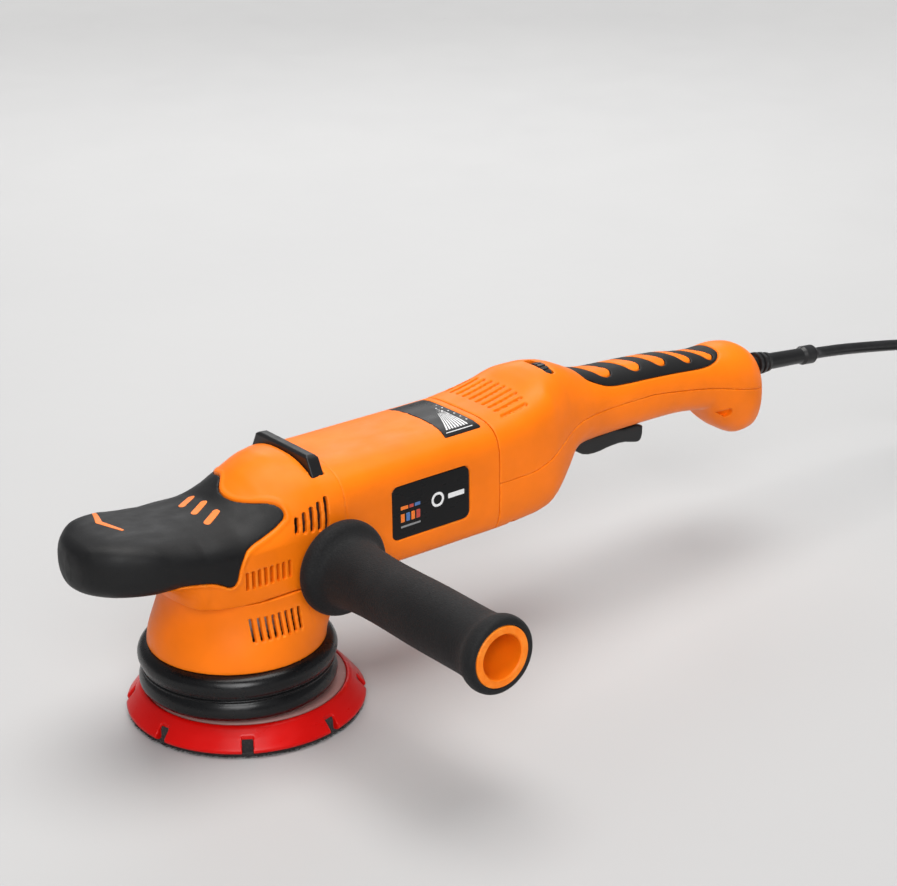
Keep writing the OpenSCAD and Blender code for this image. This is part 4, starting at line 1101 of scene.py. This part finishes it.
SHROUD = [[42.9, 45], [41.4, 45], [41.4, 41], [44, 37], [44, 20], [47.2, 18], [49.5, 18.6],
          [50.9, 21], [51, 23.5], [50, 26.6], [48.8, 28], [49.0, 28.8], [49.9, 29.2], [49.9, 29.8],
          [48.9, 30.3], [49.9, 30.9], [49.9, 31.5], [50.6, 32.6], [51.4, 35.4], [50.9, 38.6], [49, 41],
          [46, 42.1], [42.9, 42.1]]
SIDE_GRIP = [[13.1, 0], [19, 0], [20.4, 3.2], [24.2, 4], [25.2, 5.6], [25, 8.6], [23.6, 11],
             [20.6, 12.8], [18.4, 15], [17.5, 19], [16.9, 27], [16.3, 38], [16.3, 54], [16.8, 76],
             [16.6, 100], [16.5, 115], [17.5, 120.8], [19.2, 124.4], [19.6, 127.4], [19, 130.2],
             [17.6, 131.4], [15.4, 131.4], [15.4, 128], [13.1, 128]]


def soft_ripple(radii, heights, angles):
    """Slight waves that hand-moulded rubber keeps."""
    wave = 0.12 * np.sin(3 * angles + 0.15 * heights) + 0.07 * np.sin(7 * angles - 0.3 * heights)
    return radii + wave * (radii > 45), heights


lathe("shroud_rubber", soften(SHROUD), (0, 0, 0), (0, 0, 1), "polisher", "shroud_rubber", ["shroud"],
      ripple=soft_ripple)
lathe("side_grip", soften(SIDE_GRIP), (SIDE_X, SIDE_Y, SIDE_Z), (0, -1, 0), "polisher", "soft_grip",
      ["side_handle_grip"], MATERIALS["handle_foam"])

# ---- plate

PLATE_C = (6.4952, 3.75)
PLATE_R = 62.5
HOOK_T = 2
NOTCHES = 8
NOTCH_FIRST = math.radians(12)
NOTCH_HALF = 2.9
CORE_R = PLATE_R - 4.2
RIM = [[7.2, HOOK_T], [PLATE_R - 2.4, HOOK_T], [PLATE_R, HOOK_T + 1.4], [PLATE_R, HOOK_T + 2.6],
       [PLATE_R - 1, HOOK_T + 3.6], [PLATE_R - 4.4, 9.9], [PLATE_R - 7.6, 13.6], [PLATE_R - 9, 14.6],
       [PLATE_R - 10.2, 14.4], [PLATE_R - 10.2, 13.3], [16.2, 13.3], [16.2, 8.1], [7.2, 8.1]]
FROSTED = [[4.3, 8.2], [4.3, 11], [4.3, 15.4], [4.8, 15.4], [20, 15.4], [39, 15.35], [40.5, 15],
           [42, 15.35], [50.6, 15.4], [51.9, 14.6], [51.9, 13.4], [51, 13.4], [16.5, 13.4],
           [16, 13.2], [16, 8.6], [15.6, 8.2], [4.8, 8.2]]
HOOKS = [[6.8, 0.15], [PLATE_R - 3.2, 0.15], [PLATE_R - 2.3, 1], [PLATE_R - 2.4, 1.9], [CORE_R, 2],
         [CORE_R, 8.8], [CORE_R - 3, 8.8], [CORE_R - 4, 2.1], [6.8, 1.9]]
FIBRES = 3600


def plate_shape(x, y, z):
    px, py = x - PLATE_C[0], y - PLATE_C[1]
    r = np.hypot(px, py)
    rim = outline_distance(r, z, np.array(RIM))
    rim = both(rim, r - PLATE_R + 0.05, 1.2)
    step = math.tau / NOTCHES
    angle = np.arctan2(py, px) - NOTCH_FIRST
    angle = angle - step * np.round(angle / step)
    notch = both(np.abs(r * np.sin(angle)) - NOTCH_HALF, both(CORE_R - 1 - r, HOOK_T - 1 - z), 0.4)
    return without(rim, notch, 0.3)


def make_fibres():
    """Short bent fibres that bristle from the hook face's rim, each a thin three-sided spike."""
    count = FIBRES
    angle = RNG.uniform(0, math.tau, count)
    height = RNG.uniform(0.2, 1.9, count)
    reach = RNG.uniform(0.7, 2.2, count)
    droop = RNG.uniform(-0.7, 0.35, count)
    twist = RNG.normal(0, 0.55, count)
    root = PLATE_R - 3.0
    up = np.array([0, 0, 1])
    points, faces = [], []
    for a, h, length, fall, turn in zip(angle, height, reach, droop, twist):
        out = np.array([math.cos(a), math.sin(a), 0])
        side = np.array([-math.sin(a), math.cos(a), 0])
        for share, width in ((0, 0.11), (0.55, 0.09), (1, 0.04)):
            centre = np.array([*PLATE_C, h]) + out * (root + length * share)
            centre = centre + side * turn * share * share + np.array([0, 0, fall * share * share])
            centre[2] = max(centre[2], 0.12)
            for corner in range(3):
                c = corner * math.tau / 3
                points.append(centre + width * (math.cos(c) * side + math.sin(c) * up))
        base = len(points) - 9
        for ring in (base, base + 3):
            for corner in range(3):
                after = (corner + 1) % 3
                faces.append((ring + corner, ring + after, ring + 3 + after, ring + 3 + corner))
        faces += [(base + 2, base + 1, base), (base + 6, base + 7, base + 8)]
    add_piece("hook_fibres", points, faces, "plate", "hook_fabric")


REACH = PLATE_R + 1.5
add_shape("red_rim", plate_shape, (PLATE_C[0] - REACH, PLATE_C[1] - REACH, 1),
          (PLATE_C[0] + REACH, PLATE_C[1] + REACH, 16.5), 0.75, "red_plate", ["backing_plate"], "plate")
lathe("frosted_disc", soften(FROSTED, 1), (*PLATE_C, 0), (0, 0, 1), "plate", "plate_disc", ["plate_disc"])
# The hooks' dark core reaches up into the rim and shows in the notches
lathe("hook_disc", soften(HOOKS, 1), (*PLATE_C, 0), (0, 0, 1), "plate", "hook_fabric", ["hook_pad"],
      segments=256)
make_fibres()

# ---- trigger

TRIGGER_SIDE = soften([[222, 97.5], [222, 90], [225, 86], [231, 82.4], [240, 81.6], [250, 83], [260, 83],
                       [268, 80.8], [272.5, 80], [275, 83], [275, 91.6], [254, 91.6], [254, 97], [248, 97],
                       [248, 92.6], [232, 92.6], [230, 97.5]], 1)


def trigger_shape(x, y, z):
    blade = both(outline_distance(x, z, TRIGGER_SIDE), np.abs(y) - 7.8, 1.8)
    return without(blade, np.hypot(x - TRIGGER_PIN[0], z - TRIGGER_PIN[1]) - 1.55)


add_shape("trigger_blade", trigger_shape, (221, -9, 79), (276, 9, 99), FINE, "black_plastic",
          ["trigger"], "trigger")
